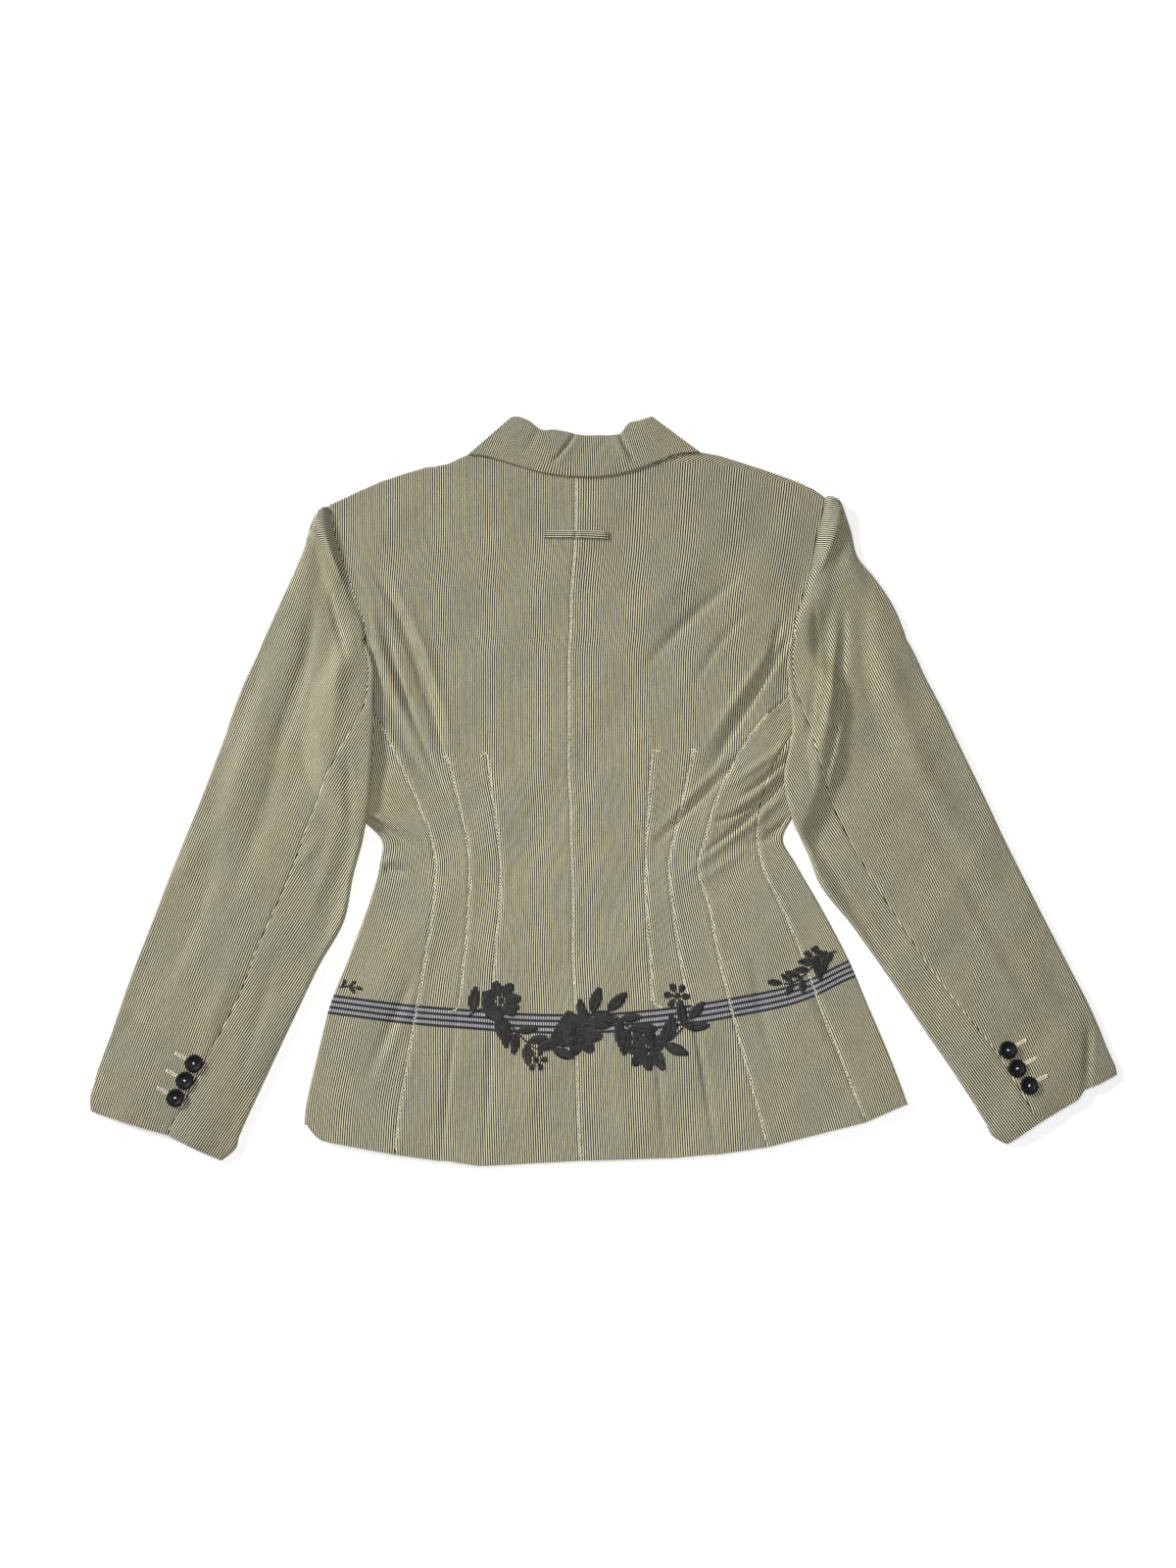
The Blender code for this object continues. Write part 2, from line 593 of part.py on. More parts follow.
def front_right():
    """Right front: a strip on the back, the body's right edge, the floor side and the shoulder."""
    strip, strip_height = side_top_strip("right", "right_side", "right_edge")
    outer, inner, edge = wrapped_side("right", strip, strip_height)
    wrap_columns = outer.shape[1]
    drop = EDGE_HEIGHT / 2
    outer_line = front_outer_line("right", drop, EDGE_HEIGHT / 2)
    plan, height = front_under_columns("right", outer_line, drop)
    under_outer = with_height(plan, height)
    under_inner = with_height(plan, height + CLOTH)
    arc_top = np.full(plan.shape[1], EDGE_HEIGHT)
    outward = np.tile(np.array([0.0, 1.0]), (plan.shape[1], 1))
    arcs = edge_arc(plan[-1], outward, arc_top, height[-1], arc_angles()[::-1])
    seam_names = tuple(SHOULDER_STRIP)
    seam_x = [float(body_x(name, back_top(name))) for name in seam_names]
    seam_y = [back_top(name) for name in seam_names]
    seam_line = np.interp(plan[-1, :, 0], seam_x, seam_y) + 2 * UNDER_GAP
    seam = np.stack([plan[-1, :, 0], seam_line], axis=-1)
    rows_outer = arcs[0] + [with_height(plan[-1], arc_top), with_height(seam, arc_top)]
    rows_inner = arcs[1] + [with_height(plan[-1], arc_top - CLOTH),
                            with_height(seam, arc_top - CLOTH)]
    under_outer = np.concatenate([under_outer, np.stack(rows_outer)])
    under_inner = np.concatenate([under_inner, np.stack(rows_inner)])
    total_rows = under_outer.shape[0]
    full_outer = np.zeros((total_rows, wrap_columns + plan.shape[1], 3))
    full_inner = np.zeros_like(full_outer)
    full_outer[:len(edge), :wrap_columns] = outer
    full_inner[:len(edge), :wrap_columns] = inner
    full_outer[:, wrap_columns:] = under_outer
    full_inner[:, wrap_columns:] = under_inner
    keep = np.ones((total_rows - 1, full_outer.shape[1] - 1), bool)
    keep[len(edge) - 1:, :wrap_columns] = False
    closed_wall("front_right", full_outer, full_inner, keep)


def lapel(side):
    """Lapel folded back under its front, from the V to the notch."""
    away = -1 if side == "left" else 1
    heights = column(LAPEL, LAPEL_COLUMNS, "y")
    y = np.linspace(heights[0], heights[-1], 7)
    width = smooth_curve(heights, column(LAPEL, LAPEL_COLUMNS, "width"), y)
    rise = LAPEL_NOTCH_RISE * smoothstep((y - LAPEL_NOTCH_Y) / (heights[-1] - LAPEL_NOTCH_Y))
    roll = np.stack([front_x(side + "_inner", y) + away * LAPEL_INSET, y + rise], axis=-1)
    edge = np.stack([roll[:, 0] + away * width, y], axis=-1)
    plan = grid([roll] + between(roll, edge, (0.35, 0.7)) + [edge])
    floor = np.zeros(plan.shape[:2])
    closed_wall("lapel_" + side, with_height(plan, floor), with_height(plan, floor + CLOTH))


def sleeve_edges(side):
    """Outer and inner edge points, seam shares and heights at every station of a sleeve."""
    cap = CAP_LEFT if side == "left" else CAP_RIGHT
    table = SLEEVE_LEFT if side == "left" else SLEEVE_RIGHT
    sign = -1 if side == "left" else 1
    armhole = body_line(side + "_seam")[NOTCH_ROW:][::-1]
    along = (1 - ROWS[NOTCH_ROW:][::-1]) / (1 - HEM_TO_NOTCH)
    cap_shares = column(cap, CAP_COLUMNS, "along")
    cap_outer = np.stack([smooth_curve(cap_shares, column(cap, CAP_COLUMNS, name), along)
                          for name in ("x", "y")], axis=-1)
    cap_inner = shifted(armhole, sign * SEAM_GAP / 2)
    stations = np.linspace(table[0][0], 1, SLEEVE_ROWS)
    values = {name: smooth_curve(column(table, SLEEVE_COLUMNS, "along"),
                                 column(table, SLEEVE_COLUMNS, name), stations)
              for name in SLEEVE_COLUMNS[1:]}
    low_outer = np.stack([values["outer_x"], values["outer_y"]], axis=-1)
    low_inner = np.stack([values["inner_x"], values["inner_y"]], axis=-1)
    count = len(cap_inner)
    outer = np.concatenate([cap_outer, low_outer])
    inner = np.concatenate([cap_inner, low_inner])
    seam = np.concatenate([np.ones(count), values["seam"]])
    height = np.concatenate([np.full(count, EDGE_HEIGHT), values["height"]])
    return outer, inner, seam, height, count


def sleeve_floor(side, x, y, on_body):
    """Height of what a sleeve's lower layer lies on: the floor or the body beside it."""
    sign = -1 if side == "left" else 1
    edge = body_x(side + "_edge", y)
    reach = sign * (edge - x) + REST_MARGIN + REST_RAMP
    return SLEEVE_REST[side] * smoothstep(reach / REST_RAMP) * on_body


def sleeve_top(side, x, y, low, height, share, on_cap):
    """Height of a sleeve's outer face over its lower layer."""
    folds = LEFT_SLEEVE_FOLDS if side == "left" else RIGHT_SLEEVE_FOLDS
    inside = np.minimum(share, 1 - share)
    swell = SLEEVE_SWELL * smoothstep(inside / SLEEVE_SWELL_REACH)
    puff = CAP_PUFF * on_cap * smoothstep(inside / CAP_PUFF_REACH)
    relief = fold_height(folds, x, y) * smoothstep(inside / SLEEVE_FOLD_REACH)
    return low + height + np.maximum(swell + puff + relief, 0.0)


def sleeve(side):
    """Top sleeve and under sleeve, one flattened tube in two walls."""
    outer_edge, inner_edge, seam, height, cap_rows = sleeve_edges(side)
    across = inner_edge - outer_edge
    width = np.linalg.norm(across, axis=-1)
    direction = across / width[:, None]
    rows = len(width)
    on_body = (np.arange(rows) >= cap_rows).astype(float)
    radius = height / 2
    notch_lift = np.zeros(rows)
    notch_lift[cap_rows - 1] = CLOTH + LAYER_GAP

    def place(distance):
        return outer_edge + direction * distance[:, None]

    def lower(distance):
        plan = place(distance)
        return with_height(plan, sleeve_floor(side, plan[:, 0], plan[:, 1], on_body))

    def upper(distance):
        plan = place(distance)
        low = sleeve_floor(side, plan[:, 0], plan[:, 1], on_body)
        near_armhole = 1 - on_body
        share = distance / width
        top = sleeve_top(side, plan[:, 0], plan[:, 1], low, height, share, near_armhole)
        matched = back_height(plan[:, 0], plan[:, 1]) - SEAM_DEPTH + notch_lift
        blend = smoothstep((distance - width + CAP_BLEND) / CAP_BLEND) * near_armhole
        return with_height(plan, (1 - blend) * top + blend * matched)

    def wall(points, thickness):
        moved = points.copy()
        moved[:, 2] += thickness
        return moved

    def arc(distance, outward_sign, angles):
        centre = lower(distance)
        top = centre[:, 2] + height
        return edge_arc(centre[:, :2], direction * outward_sign, top, centre[:, 2], angles)

    seam_at = np.where(on_body > 0, seam * width - SEAM_GAP / 2, width)
    front_at = np.where(on_body > 0, width - FRONT_SEAM_INSET, width)
    start = radius
    tops = [upper(seam_at + s * (start - seam_at)) for s in (0, 0.06, 0.2, 0.35, 0.5, 0.66, 0.83, 1)]
    bottoms = [lower(start + s * (front_at - start)) for s in (0, 0.3, 0.5, 0.64, 0.76, 0.88, 1)]
    outer_arc, inner_arc = arc(start, -1.0, arc_angles())
    outer_grid = np.stack(tops + outer_arc + bottoms, axis=1)
    inner_grid = np.stack([wall(p, -CLOTH) for p in tops] + inner_arc
                          + [wall(p, CLOTH) for p in bottoms], axis=1)
    closed_wall("top_sleeve_" + side, outer_grid, inner_grid)

    low = slice(cap_rows, rows)
    seam_next = seam * width + SEAM_GAP / 2
    fold_at = np.maximum(width - radius, seam_next + 0.2)
    tops = [upper(seam_next + s * (fold_at - seam_next)) for s in (0, 0.12, 0.4, 0.7, 1)]
    bottoms = [lower(fold_at + s * (front_at + SEAM_GAP - fold_at)) for s in (0, 0.5, 1)]
    outer_arc, inner_arc = arc(fold_at, 1.0, arc_angles())
    outer_grid = np.stack(tops + outer_arc + bottoms, axis=1)[low]
    inner_grid = np.stack([wall(p, -CLOTH) for p in tops] + inner_arc
                          + [wall(p, CLOTH) for p in bottoms], axis=1)[low]
    closed_wall("under_sleeve_" + side, outer_grid, inner_grid)


def collar_fall():
    """Fall of the collar: a band folded flat at both sides of the neck."""
    along = np.linspace(0, 1, 17)
    shares = column(COLLAR, COLLAR_COLUMNS, "along")
    value = {name: smooth_curve(shares, column(COLLAR, COLLAR_COLUMNS, name), along)
             for name in COLLAR_COLUMNS[1:]}
    edge = np.stack([value["edge_x"], value["edge_y"]], axis=-1)
    roll = np.stack([value["roll_x"], value["roll_y"]], axis=-1)
    outer_rows = []
    inner_rows = []
    for row in range(COLLAR_ROWS + 1):
        t = min(row / (COLLAR_ROWS - 1), 1.0)
        drop = COLLAR_ROLL_DROP if row == COLLAR_ROWS else 0.0
        plan = (1 - t) * edge + t * roll
        top = COLLAR_EDGE_Z + smoothstep(t) * (value["roll_z"] - COLLAR_EDGE_Z) - drop
        outer_row, inner_row = collar_row(plan, top, t, drop)
        outer_rows.append(outer_row)
        inner_rows.append(inner_row)
    closed_wall("collar_fall", np.stack(outer_rows), np.stack(inner_rows))


def collar_row(plan, top, t, drop):
    """One line round the collar: left front end, left fold, back of the neck, right side."""
    inward = np.array([0.0, -drop * COLLAR_ROLL_SLOPE])
    thickness_shift = np.array([0.0, -CLOTH if drop else 0.0])
    ends = ((COLLAR_END_LEFT, plan[0], top[0], -1.0), (COLLAR_END_RIGHT, plan[-1], top[-1], 1.0))
    halves = []
    for corners, fold, fold_top, sign in ends:
        corner = (1 - t) * np.array(corners[0], float) + t * np.array(corners[1], float)
        radius = fold_top / 2
        centre = fold - np.array([sign * radius, 0.0])
        under = [(1 - s) * corner + s * centre for s in (0.0, 0.3, 0.6, 0.85, 1.0)]
        outer_half = [(*p, 0.0) for p in under]
        inner_half = [(*p, CLOTH) for p in under]
        for angle in arc_angles()[::-1]:
            for reach, half in ((radius, outer_half), (radius - CLOTH, inner_half)):
                x = centre[0] + sign * reach * math.sin(angle)
                half.append((x, centre[1], fold_top / 2 + reach * math.cos(angle)))
        halves.append((outer_half, inner_half, centre))
    left_outer, left_inner, left_centre = halves[0]
    right_outer, right_inner, right_centre = halves[1]
    middle = plan[1:-1]
    back = [left_centre, *middle, right_centre]
    outer_points = left_outer + [(*(p + inward), z) for p, z in zip(back, top)]
    inner_points = left_inner + [(*(p + inward + thickness_shift), z - (0 if drop else CLOTH))
                                 for p, z in zip(back, top)]
    outer_points += right_outer[::-1]
    inner_points += right_inner[::-1]
    return np.array(outer_points, float), np.array(inner_points, float)


def neck_line(x):
    """Height on the floor plan of the back's neck seam."""
    names = ("left_inner_dart", "centre", "right_inner_dart")
    return np.interp(x, [float(body_x(n, back_top(n))) for n in names], [back_top(n) for n in names])


def collar_stand():
    """Stand of the collar, from the neck seam up inside the fall."""
    along = np.linspace(*STAND_SHARES, 13)
    shares = column(COLLAR, COLLAR_COLUMNS, "along")
    value = {name: smooth_curve(shares, column(COLLAR, COLLAR_COLUMNS, name), along)
             for name in COLLAR_COLUMNS[1:]}
    roll = np.stack([value["roll_x"], value["roll_y"] - STAND_INSET], axis=-1)
    neck_x = value["roll_x"] * STAND_FLARE
    neck = np.stack([neck_x, neck_line(neck_x) + SEAM_GAP], axis=-1)
    rise = value["roll_z"] - CLOTH - LAYER_GAP - STAND_DROP - EDGE_HEIGHT
    rows = []
    heights = []
    for t in (0.0, 0.5, 1.0):
        rows.append((1 - t) * neck + t * roll)
        heights.append(EDGE_HEIGHT + t * rise)
    plan = np.stack(rows)
    height = np.stack(heights)
    closed_wall("collar_stand", with_height(plan, height), with_height(plan, height - CLOTH))


def hanger_tab():
    """Narrow strip sewn across the centre back below the collar."""
    length, width, thick = TAB_SIZE
    across = np.linspace(-length / 2, length / 2, 9)
    rows = []
    for offset in (-width / 2, 0.0, width / 2):
        x = TAB_CENTRE[0] + across * math.cos(TAB_SLOPE) - offset * math.sin(TAB_SLOPE)
        y = TAB_CENTRE[1] + across * math.sin(TAB_SLOPE) + offset * math.cos(TAB_SLOPE)
        rows.append(np.stack([x, y], axis=-1))
    plan = np.stack(rows)
    base = back_height(plan[..., 0], plan[..., 1]) + LAYER_GAP
    crown = np.array([0.0, TAB_CROWN, 0.0])[:, None]
    closed_wall("hanger_tab", with_height(plan, base + thick + crown), with_height(plan, base))


def cuff_button(name, side, x, y):
    """Turned button with a raised rim, lying on the top sleeve."""
    mesh = bpy.data.meshes.new(name)
    points = [(r * MM, 0.0, z * MM) for r, z in BUTTON_PROFILE]
    mesh.from_pydata(points, [(i, i + 1) for i in range(len(points) - 1)], [])
    turned = bpy.data.objects.new(name + "_profile", mesh)
    bpy.data.collections[COLLECTION].objects.link(turned)
    screw = turned.modifiers.new("Turn", "SCREW")
    screw.steps = BUTTON_FACETS
    screw.render_steps = BUTTON_FACETS
    screw.use_merge_vertices = True
    screw.merge_threshold = 0.00001
    depsgraph = bpy.context.evaluated_depsgraph_get()
    solid = bpy.data.meshes.new_from_object(turned.evaluated_get(depsgraph))
    bpy.data.objects.remove(turned)
    solid.name = name
    button = finish_object(name, solid, BUTTON_COLOUR, 0.5)
    button.location = (x * MM, y * MM, button_base(side, x, y) * MM)
    return button


def button_base(side, x, y):
    """Height at which a cuff button rests on its sleeve."""
    outer_edge, inner_edge, seam, height, cap_rows = sleeve_edges(side)
    along = (y - outer_edge[:, 1]) * (inner_edge - outer_edge)[:, 0]
    along -= (x - outer_edge[:, 0]) * (inner_edge - outer_edge)[:, 1]
    row = int(np.argmin(np.abs(along) + 1e6 * (np.arange(len(along)) < cap_rows)))
    width = np.linalg.norm(inner_edge[row] - outer_edge[row])
    share = np.hypot(x - outer_edge[row, 0], y - outer_edge[row, 1]) / width
    spots = np.array([x, x - BUTTON_RADIUS, x + BUTTON_RADIUS])
    top = sleeve_top(side, spots, np.full(3, y), 0.0, height[row], np.full(3, share), 0.0)
    return float(top.max()) + BUTTON_CLEARANCE


def main():
    for obj in list(bpy.data.objects):
        bpy.data.objects.remove(obj)
    collection = bpy.data.collections.new(COLLECTION)
    bpy.context.scene.collection.children.link(collection)
    for side in ("left", "right"):
        back_panel(side)
        lapel(side)
        sleeve(side)
    side_back_left()
    side_back_right()
    front_left()
    front_right()
    collar_fall()
    collar_stand()
    hanger_tab()
    for side, places in (("left", BUTTONS_LEFT), ("right", BUTTONS_RIGHT)):
        for number, (x, y) in enumerate(places, start=1):
            cuff_button(f"cuff_button_{side}_{number}", side, x, y)


main()
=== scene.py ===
"""Pinstripe blazer laid flat on its fronts, back up: fine cloth, stitching and buttons.

The tables and sizes are in millimetres and follow the part's own. +X is the wearer's right, +Y runs
from the hem to the collar and +Z is up. Every point is turned into metres when its mesh is made.
"""
import math

import bmesh
import bpy
import numpy as np
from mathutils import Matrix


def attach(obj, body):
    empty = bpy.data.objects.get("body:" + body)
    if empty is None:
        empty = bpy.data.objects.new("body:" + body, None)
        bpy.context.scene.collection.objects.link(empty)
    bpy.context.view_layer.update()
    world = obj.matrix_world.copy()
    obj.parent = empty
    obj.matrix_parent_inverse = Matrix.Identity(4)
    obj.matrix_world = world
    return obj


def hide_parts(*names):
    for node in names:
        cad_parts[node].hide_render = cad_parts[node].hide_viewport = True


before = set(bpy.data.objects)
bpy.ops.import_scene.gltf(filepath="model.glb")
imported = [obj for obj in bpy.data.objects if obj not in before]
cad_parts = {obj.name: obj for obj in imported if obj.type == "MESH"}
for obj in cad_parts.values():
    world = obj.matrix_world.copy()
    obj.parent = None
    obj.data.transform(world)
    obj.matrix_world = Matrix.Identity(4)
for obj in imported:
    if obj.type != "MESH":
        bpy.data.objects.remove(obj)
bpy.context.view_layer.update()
BODY_NAME = "root"
MM = 0.001
SHARP_ANGLE = math.radians(50)
SIGN = {"left": -1, "right": 1}


def smooth_curve(xs, ys, x):
    """Value at x of a soft curve through the points (xs, ys)."""
    xs = np.asarray(xs, float)
    ys = np.asarray(ys, float)
    x = np.clip(np.asarray(x, float), xs[0], xs[-1])
    slope = np.gradient(ys, xs)
    k = np.clip(np.searchsorted(xs, x, side="right") - 1, 0, len(xs) - 2)
    span = xs[k + 1] - xs[k]
    t = (x - xs[k]) / span
    rise = ys[k + 1] - ys[k]
    start = slope[k] * span
    end = slope[k + 1] * span
    return ys[k] + t * (start + t * (3 * rise - 2 * start - end + t * (start + end - 2 * rise)))


class Table:
    """Rows of numbers under named columns, looked up by the first of them."""

    def __init__(self, names, rows):
        self.columns = {name: [row[k] for row in sorted(rows)] for k, name in enumerate(names)}
        self.at = self.columns[names[0]]

    def soft(self, name, at):
        """Value of a column on a soft curve through the rows."""
        return smooth_curve(self.at, self.columns[name], at)

    def straight(self, name, at):
        """Value of a column on straight lines between the rows."""
        return np.interp(at, self.at, self.columns[name])

    def soft_row(self, at):
        return {name: self.soft(name, at) for name in self.columns}


# Cloth and how its layers lie on each other
CLOTH = 0.7
SEAM_GAP = 0.12
LAYER_GAP = 0.3
LAP_LIFT = 1.9
EDGE_HEIGHT = 5.5
EDGE_FADE = 45.0
# Deepest troughs of the back over the lapped fronts and over the single cloth beside them
LAP_TROUGH = -1.6
SIDE_TROUGH = -2.2
LAP_REACH = 60.0
LAP_FADE = 20.0
EDGE_BLEND = 4.0
BODY_SWELL = 1.5
ARMHOLE_SWELL = 1.2
ARMHOLE_LOWEST = ((-182.0, 198.0), (193.0, 204.0))
ARMHOLE_REACH = 26.0
ARMHOLE_SQUASH = 0.6       # the swell reaches further up and down than across
WAIST_Y = 4.0
WAIST_REACH = 46.0
WAIST_FLATTENING = 0.35
WAIST_FOLDS = 0.5          # share of the waist's flattening that is kept of the folds at its edges
UNDER_STRIP = 5.0
UNDER_GAP = 0.6
ARMHOLE_SLANT = 0.32
SHOULDER_FADE = 40.0
SEAM_TOP_FADE = 6.0
FOLD_EDGE_FADE = 9.0       # folds run out towards the folded edges of the body
# Where the sleeves lie beside the body, the ridges of the back run out
BESIDE_FROM = 24.0
BESIDE_RAMP = 20.0
BESIDE_X = 186.0
BESIDE_WIDTH = 12.0

# Rows of the body: share of the way from the hem to the shoulder
HEM_TO_UNDERARM = 0.69
HEM_TO_NOTCH = 0.78
ROWS_BELOW = 186
# Rows stand closer where the side creases are: how much, and where, as shares of the way to the underarm
CREASE_CROWDING = 1.4
CREASES_AT = 0.72
CREASES_REACH = 0.16
ROWS_UNDERARM = 26
ROWS_ARMHOLE = 60
ARC_STEPS = 8

# Where each seam, dart and edge of the back lies at each height
BODY = Table(("y", "left_edge", "left_seam", "left_outer_dart", "left_inner_dart", "centre",
              "right_inner_dart", "right_outer_dart", "right_seam", "right_side", "right_edge"), (
    (-250, -223, -147, -107, -73, 7, 79, 118, 165, 253, 293),
    (-200, -221, -142, -103, -70, 5, 74, 110, 153, 238, 279),
    (-160, -213, -136, -99, -68, 4, 71, 104, 143, 223, 265),
    (-120, -204, -130, -95, -67, 3, 68, 98, 133, 208, 249),
    (-80, -189, -124, -91, -65, 1, 66, 91, 124, 195, 233),
    (-40, -175, -118, -88, -62, 1, 63, 86, 117, 179, 213),
    (0, -165, -117, -88, -61, 0, 63, 83, 108, 162, 191),
    (20, -164, -120, -90, -63, -1, 64, 87, 114, 159, 181),
    (40, -184, -128, -95, -66, -1, 65, 92, 119, 160, 190),
    (80, -203, -146, -105, -72, -3, 68, 101, 136, 172, 207),
    (120, -206, -166, -115, -74, -3, 71, 110, 161, 194, 214),
    (160, -197, -188, -120, -76, -3, 73, 117, 197, 206, 211),
    (186, -183, -183, -123, -77, -3, 74, 121, 194, 194, 194),
    (200, -182, -182, -124, -77, -2, 75, 122, 193, 193, 193),
    (240, -194, -194, -126, -78, -1, 76, 125, 204, 204, 204),
    (280, -208, -208, -127, -78, 2, 77, 128, 214, 214, 214),
    (330, -221, -221, -128, -78, 3, 78, 130, 227, 227, 227),
))
HEM_Y = {"left_edge": -230, "left_seam": -243, "left_outer_dart": -248, "left_inner_dart": -252,
         "centre": -248, "right_inner_dart": -246, "right_outer_dart": -243, "right_seam": -237,
         "right_side": -217, "right_edge": -203}
SHOULDER_Y = {"left_edge": 320, "left_seam": 320, "left_outer_dart": 354, "left_inner_dart": 363,
              "centre": 357, "right_inner_dart": 364, "right_outer_dart": 358,
              "right_seam": 329, "right_side": 329, "right_edge": 329}
SHOULDER_LINES = ("left_seam", "left_outer_dart", "left_inner_dart", "centre", "right_inner_dart",
                  "right_outer_dart", "right_seam")
NECK_LINES = ("left_inner_dart", "centre", "right_inner_dart")
# The left corner of the hem is rounded
CORNER_FROM = -204.0
CORNER_WIDTH = 16.0
CORNER_RISE = 11.0
CORNER_ROWS = 0.07
# How far each line of the right back ends below the shoulder's edge, where the right front shows
SHOULDER_STRIP = {"right_inner_dart": 10.0, "right_outer_dart": 9.0, "right_seam": 3.4}
# Curve of the shoulders above the straight lines between the points of SHOULDER_Y
SHOULDER_RISE = Table(("x", "rise"), (
    (-221, 2), (-205, 3.5), (-192, 5), (-172, 6.5), (-149, 5.5), (-131, 4), (-112, 5), (-103, 8),
    (-96, 10), (-84, 9), (-66, 3), (-50, 0), (60, 0), (70, 4), (84, 8), (100, 10), (116, 13),
    (130, 11.5), (168, 10), (196, 8), (214, 5), (227, 1)))
RISE_FROM = 0.88
DART_OFFSETS = (0.5, 1.1, 2.0, 3.2)
# Columns of points between a back's centre, inner dart, outer dart and seam, and across the sides
BACK_COLUMNS = (30, 13, 38)
SIDE_LEFT_COLUMNS = 34
SIDE_RIGHT_COLUMNS = 36
FRONT_STRIP_COLUMNS = 26

# Fronts, on the floor side
FRONT = Table(("y", "left_inner", "left_lift", "right_inner", "right_lift"), (
    (-250, 71, 25, 33, 78),
    (-120, 50, 3, 12, 56),
    (0, 30, -17, -8, 38),
    (60, 20, -30, 0, 42),
    (104, 9, -34, 9, 52),
    (150, -1, -66, 18, 84),
    (200, -11, -92, 27, 109),
    (240, -20, -107, 35, 123),
    (300, -38, -104, 53, 122),
    (362, -76, -106, 80, 124),
))
FRONT_GAPS = (9, 3, 7)     # columns of points up to the ramp, on it and from there to the inner edge
LAPEL_RAMP = 12.0
RIGHT_LIFT_FROM = 118.0
RIGHT_LIFT_RAMP = 10.0
FRONT_TOP = 363.0
TOP_BEND = 6
RIGHT_OVER_SLANT = math.radians(60)   # of the stripes on the strip above the right shoulder
RIGHT_OVER_SHARES = (0, 0.3, 0.7, 1)
LAPEL = Table(("y", "width"), ((147, 54), (160, 59), (200, 70), (240, 78)))
LAPEL_ROWS = 40
LAPEL_GAP = 20
LAPEL_RISE = 8.0
LAPEL_RISE_FROM = 200.0
LAPEL_SLANT = 0.2
COLLAR_MIDDLE = 8.0
COLLAR_REACH = 114.0
SHOULDER_RAMP = 18.0

# Folds: start, middle and end on the floor plan, half widths to the left and right of the way from
# start to end, and height
BODY_FOLDS = (
    (-173, 258, -137, 182, -110, 88, 1.5, 6.0, -3.2),
    (-165, 258, -129, 184, -103, 92, 6.0, 2.4, 1.4),
    (-165, 214, -144, 142, -106, 52, 2.0, 5.0, -1.8),
    (-184, 244, -166, 180, -134, 104, 5.0, 8.0, 1.6),
    (-180, 176, -158, 138, -132, 84, 4.0, 6.0, -1.5),
    (-160, 128, -136, 88, -114, 56, 4.0, 6.0, -1.2),
    (-186, 48, -164, 37, -138, 22, 4.0, 2.0, 2.2),
    (-184, 42, -162, 30, -138, 14, 1.6, 3.0, -2.6),
    (-174, 0, -160, -4, -142, -8, 1.6, 3.6, -2.8),
    (-168, 6, -156, 3, -140, -2, 3.0, 3.0, 1.6),
    (194, 202, 163, 152, 118, 76, 2.0, 6.5, -3.4),
    (186, 206, 152, 158, 110, 92, 6.5, 3.0, 1.3),
    (184, 214, 179, 196, 170, 176, 2.2, 4.0, -1.9),
    (194, 97, 173, 78, 146, 57, 1.2, 2.8, -3.0),
    (190, 106, 164, 87, 134, 66, 4.0, 3.4, 1.5),
    (179, 69, 154, 48, 120, 33, 1.3, 2.8, -2.6),
    (189, 81, 164, 50, 110, 4, 1.3, 3.2, -3.1),
    (186, 88, 164, 64, 138, 46, 3.0, 3.0, 1.4),
    (190, 64, 150, 31, 92, -12, 4.0, 3.0, 1.7),
    (196, 47, 180, 32, 166, 24, 1.2, 2.4, -2.8),
    (150, 96, 110, 54, 66, 10, 2.4, 5.0, -1.5),
    (146, 104, 106, 62, 66, 20, 5.0, 3.0, 1.0),
    (150, 12, 124, -6, 98, -22, 3.0, 3.0, 1.0),
    (186, 30, 172, 22, 150, 16, 2.0, 3.0, -1.6),
    (-200, 262, -184, 190, -164, 70, 9.0, 13.0, -1.7),
    (214, 270, 194, 190, 172, 90, 12.0, 9.0, -1.7),
    (146, 252, 106, 217, 64, 172, 3.0, 6.0, -1.9),
    (160, 226, 132, 196, 104, 150, 3.0, 5.0, -1.2),
    (108, 262, 74, 232, 40, 206, 9.0, 9.0, 0.6),
    (-67, -124, -69, -180, -73, -246, 2.0, 3.0, -0.8),
    (-95, -120, -102, -180, -107, -246, 2.2, 4.0, -1.0),
    (68, -124, 72, -180, 77, -244, 3.0, 2.0, -0.8),
    (99, -120, 108, -170, 118, -238, 4.0, 2.2, -1.2),
    (-134, -96, -152, -140, -172, -182, 3.0, 5.0, -1.4),
    (-128, -100, -146, -146, -166, -190, 5.0, 5.0, 0.9),
    (150, -70, 158, -120, 170, -186, 6.0, 4.0, -0.9),
    (196, -92, 214, -140, 236, -188, 5.0, 4.0, -1.0),
    (-30, -140, -34, -190, -38, -244, 7.0, 7.0, 0.7),
    (36, -130, 40, -190, 44, -240, 7.0, 7.0, 0.6),
)
FOLD_STEPS = 15
FOLD_END = 0.05
FOLD_REACH = 3.0           # a fold is looked at out to this many of its half widths
# Low waves all over the cloth: the two wavelengths, the phase and the height
WAVES = ((173, 118, 0.4, 0.34), (-97, 141, 1.9, 0.26), (61, -83, 4.1, 0.16), (38, 52, 2.2, 0.09),
         (-27, 33, 0.9, 0.05))

